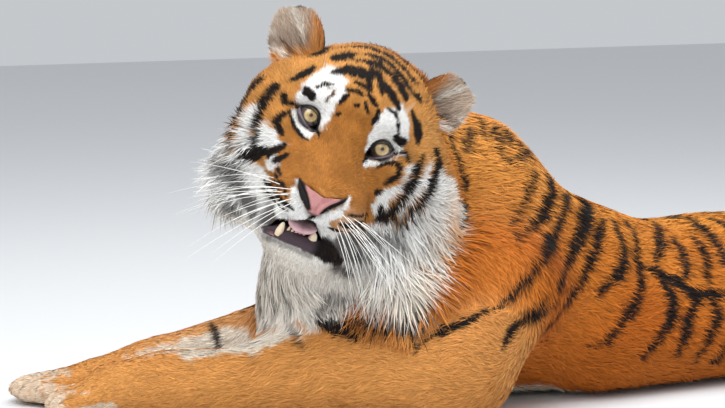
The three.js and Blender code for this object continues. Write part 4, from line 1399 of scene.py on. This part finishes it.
def lid_ring(name, tree):
    """The lids' rims: a band from the eyeball out onto the skin, black above, grey below."""
    y0, z0 = EYES[name]
    inward = 1 if name == "right" else -1
    turns = 72
    centre = np.array([EYE_X, y0, z0])
    verts, colour = [], []
    steps = [(-1.2, -3), (0, 1.2), (1.0, 2.6), (2.6, 3.0), (4.6, 2.2), (6.6, 0)]
    for k, (grow, stand) in enumerate(steps):
        for j in range(turns):
            b = 2 * math.pi * j / turns
            e = math.cos(b)
            f = math.sin(b)
            bow = (1 - e * e) ** 0.675
            reach_e = (LID_LONG + grow) * e
            reach_f = (LID_UP + 0.5 * grow) * bow if f > 0 else -(LID_DOWN + 1.1 * grow) * bow
            inner = step(0.72, 1.0, np.array([e]))[0]
            outer = step(0.75, 1.0, np.array([-e]))[0]
            reach_e += grow * 0.9 * inner + grow * 0.5 * outer + 2.5 * inner * (k > 1)
            reach_f -= 1.6 * inner * (k > 1) + LID_DROOP * min(1, abs(reach_e) / LID_LONG) ** 2
            reach_e += LID_SHIFT
            y = reach_e * LID_SLANT[0] - reach_f * LID_SLANT[1]
            z = reach_e * LID_SLANT[1] + reach_f * LID_SLANT[0]
            flat = math.hypot(y, z)
            depth = math.sqrt(max(EYE_R**2 - min(flat, EYE_R - 1) ** 2, 0))
            point = np.array([centre[0] + depth + stand, y0 + y * inward, z0 + z])
            if k >= len(steps) - 2:
                met = skin_behind(tree, (140, point[1], point[2]))
                if met is not None and k == len(steps) - 1:
                    point[0] = met[0] - 1.5
                elif met is not None:
                    point[0] = max(0.5 * point[0] + 0.5 * met[0], met[0] + 0.8)
            verts.append(point)
            lower = step(0.1, -0.5, np.array([f]))[0] * (1 - inner)
            colour.append(mix(INK * 0.6, LID_GREY, lower * (0.35 if k < 2 else 1.0)))
    me = mesh_of("lid_" + name, from_head(verts), grid_faces(len(steps), turns, True), np.array(colour))
    put("lid_" + name, me, LIP_MAT)


# ---------------------------------------------------------------- nose, mouth
NOSTRILS = [
    [(-39, -80, 2), (-33, -88, 4), (-26, -96, 5.6), (-19, -104, 5.4), (-11, -112, 3.4)],
    [(33, -78, 1.5), (26, -87, 2.5), (18, -96, 3.5), (12, -104, 3.2), (8, -111, 2)],
]


def nose_pad():
    """The pink leather, with its two nostrils and the groove down to the lip."""
    rings, turns = 26, 96
    outline = np.array(NOSE_OUTLINE, float)
    closed = np.concatenate([outline, outline[:1]])
    runs = np.concatenate([[0], np.cumsum(np.linalg.norm(np.diff(closed, axis=0), axis=1))])
    at = np.linspace(0, runs[-1], turns, endpoint=False)
    rim = np.stack([np.interp(at, runs, closed[:, k]) for k in (0, 1)], 1)
    for _ in range(3):
        rim = 0.5 * rim + 0.25 * (np.roll(rim, 1, 0) + np.roll(rim, -1, 0))
    middle = np.array([0, -92.0])
    flat = np.concatenate([middle + (rim - middle) * (i / (rings - 1)) ** 0.85 for i in range(rings)])
    bulge = np.sqrt(np.clip(1 - (flat[:, 0] / 47) ** 2 - ((flat[:, 1] + 94) / 40) ** 2, 0.02, 1))
    x = 112 + 24 * bulge
    pit = np.maximum(stroke_depth(flat, NOSTRILS[0]), stroke_depth(flat, NOSTRILS[1]))
    x = x - 11 * step(-1.5, 3.2, pit)
    x = x + 1.2 * np.exp(-(((pit + 3.5) / 2) ** 2))
    x = x - 2.0 * np.exp(-((flat[:, 0] / 1.6) ** 2)) * step(-96, -106, flat[:, 1])
    edge = np.repeat(np.arange(rings), turns) / (rings - 1)
    x = x - 7 * step(0.86, 1.0, edge)
    hp = np.concatenate([x[:, None], flat], 1)
    black = ink(flat, NOSTRILS, 0, 1.2)
    wing = step(23, 29, np.abs(flat[:, 0] + 1.5))
    rose = mix(PINK, PINK * (0.82, 0.72, 0.74), step(0.2, 0.9, wobble(hp, 14, 71)))
    tone = mix(rose, INK * 1.2, wing * 0.95)
    tone = mix(tone, INK * 0.7, np.maximum(black, 0.8 * step(-113, -118, flat[:, 1])))
    me = mesh_of("nose_pad", from_head(hp), grid_faces(rings, turns, True), tone)
    obj = put("nose_pad", me, NOSE_MAT)
    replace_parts(obj, "nose")


def tongue():
    """A broad soft tongue whose tip lies over the lower teeth."""
    rows, cols = 26, 28
    verts, colour = [], []
    for i in range(rows):
        t = i / (rows - 1)
        for j in range(cols):
            b = 2 * math.pi * j / cols
            tip = math.sqrt(max(1 - max(0, (t - 0.55) / 0.45) ** 2.2, 0.0))
            half = 22.5 * (0.86 + 0.14 * math.sin(math.pi * t)) * tip + 0.2
            thick = 5.2 * tip**0.7 + 0.2
            y = half * math.cos(b)
            up = math.sin(b)
            z = thick * abs(up) ** 0.75 * (1 if up > 0 else -1)
            z -= 2.2 * math.exp(-((y / 4) ** 2)) * (up > 0) * tip
            z -= 0.0022 * y * y * (1 if up > 0 else 0.6)
            x = 26 + 68 * t
            slope = -128 - 22 * t**1.3
            verts.append((x, -4 + y, slope + 0.14 * y + z))
            shade = 0.7 * (up < -0.2) + 0.25 * (abs(y) < 2)
            colour.append(mix(TONGUE, TONGUE * (0.72, 0.52, 0.58), shade))
    me = mesh_of("tongue_piece", from_head(verts), grid_faces(rows, cols, True), np.array(colour))
    obj = put("tongue_piece", me, TONGUE_MAT)
    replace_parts(obj, "tongue")


def tooth(foot, tip, radius, bend):
    """Points and colours of one tapered, slightly curved tooth."""
    rows, cols = 14, 16
    foot, tip = np.array(foot, float), np.array(tip, float)
    axis = unit(tip - foot)
    side = unit(np.cross(axis, [1, 0, 0]))
    out = np.cross(side, axis)
    verts, colour = [], []
    for i in range(rows):
        t = i / (rows - 1)
        swell = 0.92 + 0.12 * math.sin(math.pi * min(1, t * 1.6))
        wide = radius * math.sqrt(max(1 - t**2.6, 0)) * swell
        middle = foot + (tip - foot) * t + out * bend * math.sin(math.pi * t)
        for j in range(cols):
            b = 2 * math.pi * j / cols
            verts.append(middle + (side * math.cos(b) + out * math.sin(b)) * wide)
            colour.append(mix(BONE * (0.92, 0.84, 0.7), BONE, min(1, t * 2)))
    return verts, colour, grid_faces(rows, cols, True)


def teeth(name, rows, node):
    """One mesh of some teeth, in place of the node."""
    verts, colour, faces = [], [], []
    for args in rows:
        v, c, f = tooth(*args)
        faces += [tuple(i + len(verts) for i in face) for face in f]
        verts += v
        colour += c
    me = mesh_of(name, from_head(verts), faces, np.array(colour))
    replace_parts(put(name, me, TOOTH_MAT), node)


def mouth_inside():
    """The floor and walls behind the tongue and the teeth, near black as painted shade deep in the open
    mouth, with the pink gum toward the front.
    """
    rows, cols = 10, 30
    verts, colour = [], []
    for i in range(rows):
        t = i / (rows - 1)
        for j in range(cols):
            s = j / (cols - 1)
            y = -50 + 92 * s
            curve = 84 - 0.012 * (y + 4) ** 2
            x = 44 + (curve - 44) * t
            verts.append((x, y, -170 + 0.06 * y + 5 * math.sin(math.pi * t)))
            # Painted shade at the back and at the right corner, pink gum toward the front.
            colour.append(mix(LIP_DARK, TONGUE * (0.6, 0.4, 0.45), 0.8 * t * step(-50, -32, y)))
    me = mesh_of("gum", from_head(verts), grid_faces(rows, cols), np.array(colour))
    put("gum", me, LIP_MAT)


# ---------------------------------------------------------------- ears
EAR_TALL = 84
EAR_HALF = 39
EAR_PALE = srgb(206, 186, 166)
EAR_DEEP = srgb(126, 104, 88)
EAR_HAIR = srgb(236, 228, 216)
EAR_SHADOW = srgb(70, 58, 50)


def ear_frame(side):
    place = HEAD @ Matrix.Translation((-98, side * 118, 102))
    return place @ spin("X", -22 * side) @ spin("Z", 14 * side)


def ear_half_width(t):
    """Half width of the ear at t of its height: broad, with a round top."""
    broad = 0.8 + 0.28 * math.sin(math.pi * min(t, 0.5))
    top = math.sqrt(max(1 - max(0, (t - 0.3) / 0.7) ** 2.3, 0))
    return EAR_HALF * broad * top


def ear(side, name):
    """A cupped shell: the hollow front, the round rim and the back."""
    rows, cols = 30, 48
    place = ear_frame(side)
    spot = np.array(place.translation)
    turn = np.array(place.to_3x3())
    verts, where = [], []
    for i in range(rows):
        t = -0.32 + 1.32 * i / (rows - 1)
        half = max(ear_half_width(t), 0.4)
        for j in range(cols):
            b = 2 * math.pi * j / cols
            y = half * math.cos(b)
            front = math.sin(b)
            u = y / EAR_HALF
            z = -44 + EAR_TALL * t - 6 * u * u * t
            hollow = -15 * (1 - u * u) * math.sin(math.pi * min(1, max(0, 0.15 + 0.85 * t))) ** 0.7
            back = -24 * math.sqrt(max(1 - (y / max(half, 1)) ** 2, 0)) * (1 - 0.62 * t)
            rim = 2.4 * math.sqrt(abs(front))
            x = 8 + (hollow + rim if front > 0 else min(back, hollow - 4) - rim * 0.4) - 5 * t
            verts.append((x, y, z))
            where.append((t, u, front))
    where = np.array(where)
    t, u, front = where.T
    edge = np.abs(u) * EAR_HALF / np.maximum([ear_half_width(a) for a in t], 1)
    inside = step(0.05, 0.3, front)
    tone = mix(EAR_PALE * np.ones((len(t), 3)), EAR_DEEP, step(0.75, 0.1, t) * 0.8)
    dark = np.maximum(step(0.9, 0.96, t), step(0.9, 0.98, edge)) * step(0.2, 0.4, t)
    toward_middle = -side * u
    orange_edge = 0.8 * step(0.35, 0.8, toward_middle) * step(0.98, 0.7, t)
    orange_edge = np.maximum(orange_edge, step(0.22, 0.06, t))
    tone = mix(tone, ORANGE, orange_edge)
    tone = mix(tone, INK, dark * 0.85 * (1 - orange_edge))
    spot_behind = near(where, (0.62, 0, -1), (0.16, 0.3, 0.7))
    outside = mix(INK * np.ones((len(t), 3)), CREAM, spot_behind)
    outside = mix(outside, RICH, step(0.35, 0.1, t))
    tone = mix(outside, tone, inside)
    world = np.array(verts) @ turn.T + spot
    me = mesh_of("ear_shell_" + name, world, grid_faces(rows, cols, True), tone)
    obj = put("ear_shell_" + name, me, SKIN_MAT)
    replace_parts(obj, "ear_" + name)
    ear_fur(me, side, name, turn, spot, np.array(verts), where, tone)


def ear_fur(me, side, name, turn, spot, local, where, tone):
    """Short fur on the ear's back and rim, and longer pale hairs fanned across its hollow."""
    n = vertex_normals(me) @ turn
    density = np.full(len(local), 0.62) * SHARE
    root, normal, blend = sample_roots(local, n, triangles(me), density, 17)
    at, colour = blend(where), blend(tone)
    inside = step(0.05, 0.3, at[:, 2])
    up = np.array([0.1, 0.0, 1.0])
    lie = np.ones((len(root), 3)) * up
    fan = root - np.array([6, -side * 34, -46])
    fan[:, 0] = 0
    lie = lie + unit(fan) * 1.6 * inside[:, None]
    width = np.array([max(ear_half_width(a), 1) for a in at[:, 0]])
    edge = np.abs(at[:, 1]) * EAR_HALF / width
    open_part = inside * step(1.0, 0.8, edge) * step(0.98, 0.8, at[:, 0])
    hair = np.stack([5 + 15 * open_part, 1.3 + 0 * inside, 0.15 + 0.28 * open_part, 0 * inside], 1)
    from_corner = root - np.array([0, -side * 30, -58])
    turn_at = np.arctan2(from_corner[:, 2], from_corner[:, 1] * side)
    rays = np.stack([turn_at * 80, 0.12 * np.linalg.norm(from_corner, axis=1), 0 * turn_at], 1)
    pale = open_part * (1 - step(0.25, 0.7, -side * at[:, 1]))
    colour = mix(colour, EAR_HAIR, 0.9 * step(-0.3, 0.8, wobble(rays, 15, 82)) * pale)
    streak = step(0.35, 0.9, wobble(rays, 8, 81)) * step(0.95, 0.5, at[:, 0])
    colour = mix(colour, EAR_SHADOW, 0.7 * streak * pale)
    rootw, normalw = root @ turn.T + spot, normal @ turn.T
    uv = np.stack([at[:, 1] * 0.25 + np.where(at[:, 2] > 0, 0.25, 0.75), at[:, 0]], 1)
    colour = np.repeat(colour[:, None, :], 5, 1)
    lie = unit(lie) @ turn.T
    made = tuft_mesh("coat_ear_" + name, rootw, normalw, lie, hair, colour, uv, 0 * inside)
    put("coat_ear_" + name, made, FUR_MAT)


# ---------------------------------------------------------------- whiskers
WHISKER_WHITE = srgb(248, 246, 240)


def strand(base, way, length, droop, thick, sides=5, parts=9):
    """A thin hair that tapers and sags toward its tip."""
    base, way = np.array(base, float), unit(np.array(way, float))
    side = unit(np.cross(way, [0, 0, 1.0]))
    up = np.cross(side, way)
    verts = []
    for i in range(parts):
        t = i / (parts - 1)
        middle = base + way * length * t - np.array([0.25, 0, 1]) * droop * t * t
        wide = thick * (1 - t) ** 0.8 + 0.08
        for j in range(sides):
            b = 2 * math.pi * j / sides
            verts.append(middle + (side * math.cos(b) + up * math.sin(b)) * wide)
    return verts, grid_faces(parts, sides, True)


def whiskers(tree):
    """Four rows on each side of the muzzle and three hairs over each eye."""
    for s, name in ((-1, "right"), (1, "left")):
        r = np.random.default_rng(40 + s)
        verts, faces = [], []

        def add(y, z, way, length, droop, thick):
            """One whisker, rooted where the skin lies across y and up z."""
            base = skin_behind(tree, (160, y, z))
            if base is None:
                return
            v, f = strand(base - unit(np.array(way)) * 2, way, length, droop, thick)
            faces.extend(tuple(i + len(verts) for i in face) for face in f)
            verts.extend(v)

        for row, z in enumerate((-100, -108, -116, -125)):
            for k in range(5):
                y = s * (36 + 8 * k)
                out = 0.55 + 0.16 * k
                ahead = 0.5 - 0.2 * k + r.normal(0, 0.06)
                way = (ahead, s * out, -0.2 - 0.13 * row + r.normal(0, 0.07))
                add(y, z + r.normal(0, 1), way, r.uniform(85, 145), r.uniform(14, 44), 0.55)
        for k in range(3):
            add(s * (52 + 5 * k), 34 + 6 * k, (0.45, s * 0.25, 0.8), r.uniform(34, 52), -8, 0.4)
        tone = np.ones((len(verts), 3)) * WHISKER_WHITE
        me = mesh_of("whiskers_" + name, from_head(verts), faces, tone)
        put("whiskers_" + name, me, WHISKER_MAT)


# ---------------------------------------------------------------- build
def skin_colour(me):
    """The skin under the tufts: the coat's own colours, a little darker, with lips, eye rims and painted
    shade inside the open mouth.
    """
    v, _ = arrays(me)
    n = vertex_normals(me)
    weight, found = survey(v)
    colour = coat_colour(v, n, weight, found) * 0.9
    hp = to_head(v)
    head = (weight[:, 0] > 0.4) & (hp[:, 0] > 10)
    gap = mouth_gap(hp)
    # Painted shade on the skin inside the open mouth.
    dark = step(-3.5, 0, gap) * head
    colour = mix(colour, LIP_DARK, dark)
    band = lip_band(hp) * head
    lip = mix(LIP * np.ones((len(v), 3)), LIP_DARK, step(16, 30, hp[:, 1]))
    colour = mix(colour, lip, band)
    for name in EYES:
        ey, ez = eye_yz(hp, name)
        colour = mix(colour, INK, step(0, 3, almond(ey, ez, 5)) * (hp[:, 0] > -20))
    paint(me, np.clip(colour, 0.003, 0.96))


skin = make_skin()
skin_colour(skin)
skin.polygons.foreach_set("use_smooth", [True] * len(skin.polygons))
skin_obj = put("skin", skin, SKIN_MAT)
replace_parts(skin_obj, *FLESH)
surface = BVHTree.FromPolygons([v.co for v in skin.vertices], [p.vertices for p in skin.polygons])
grow_coat(skin)
for eye in EYES:
    eyeball(eye)
    lid_ring(eye, surface)
nose_pad()
tongue()
# Each tooth's foot, tip, radius and bend.
RIGHT_CANINE = ((74, -32, -168), (80, -32, -147), 5.8, 1.0)
LEFT_CANINE = ((74, 15, -168), (80, 15, -142.5), 8.6, 1.0)
teeth("canine_right_tooth", [RIGHT_CANINE], "lower_canine_right")
teeth("canine_left_tooth", [LEFT_CANINE], "lower_canine_left")
# The front teeth stand in an arc.
INCISORS = []
for y in (-21, -15.5, -10, -4.5, 1):
    reach = 80 - 0.02 * (y + 6) ** 2
    INCISORS.append(((reach - 3, y, -163), (reach, y, -149), 2.9, 0.4))
teeth("incisor_row", INCISORS, "lower_incisors")
mouth_inside()
ear(1, "left")
ear(-1, "right")
whiskers(surface)


# ---------------------------------------------------------------- stage, in metres
# Each lamp's name, place and power.
LAMPS = [
    ("key", (-1.9, -1.3, 3.5), 105),
    ("fill", (-2.6, -3.4, 1.8), 24),
    ("top", (0.9, -0.3, 3.2), 70),
]
LAMP_SIZE = 3.0
LAMP_TARGET = Vector((0.1, -0.05, 0.25))
FLOOR_HALF = 9
FLOOR_LINES = 13
CAMERA_SPOT = (-2.2665, -3.5369, 0.7491)
CAMERA_DOWN = 84  # degrees up from straight down
CAMERA_TURN = -32


def stage():
    """The pale floor, the sky and the lamps, none of which belongs to the animal."""
    me = bpy.data.meshes.new("ground")
    rows = np.linspace(-FLOOR_HALF, FLOOR_HALF, FLOOR_LINES)
    verts = [(x, y, 0.0) for x in rows for y in rows]
    me.from_pydata(verts, [], grid_faces(FLOOR_LINES, FLOOR_LINES))
    ground = bpy.data.objects.new("ground", me)
    bpy.context.scene.collection.objects.link(ground)
    m, tree, bsdf = shader("pale_floor", roughness=0.9, specular=0.1)
    noise = tree.nodes.new("ShaderNodeTexNoise")
    noise.inputs["Scale"].default_value = 3
    ramp = tree.nodes.new("ShaderNodeValToRGB")
    ramp.color_ramp.elements[0].color = (0.72, 0.73, 0.74, 1)
    ramp.color_ramp.elements[1].color = (0.78, 0.79, 0.80, 1)
    tree.links.new(noise.outputs["Fac"], ramp.inputs["Fac"])
    tree.links.new(ramp.outputs["Color"], bsdf.inputs["Base Color"])
    me.materials.append(m)
    world = bpy.data.worlds.new("sky")
    world.use_nodes = True
    sky = world.node_tree.nodes["Background"]
    sky.inputs["Color"].default_value = (0.93, 0.96, 1.0, 1)
    sky.inputs["Strength"].default_value = 0.6
    bpy.context.scene.world = world
    for name, spot, power in LAMPS:
        lamp = bpy.data.lights.new(name, "AREA")
        lamp.size = LAMP_SIZE
        lamp.energy = power
        obj = bpy.data.objects.new(name, lamp)
        obj.location = spot
        aim = LAMP_TARGET - Vector(spot)
        obj.rotation_euler = aim.to_track_quat("-Z", "Y").to_euler()
        bpy.context.scene.collection.objects.link(obj)


def camera():
    cam = bpy.data.cameras.new("camera")
    cam.lens = 137
    cam.sensor_width = 36
    cam.clip_end = 100
    obj = bpy.data.objects.new("camera", cam)
    obj.location = CAMERA_SPOT
    obj.rotation_euler = (math.radians(CAMERA_DOWN), 0, math.radians(CAMERA_TURN))
    bpy.context.scene.collection.objects.link(obj)
    bpy.context.scene.camera = obj


stage()
camera()
bpy.context.scene.view_settings.view_transform = "Standard"
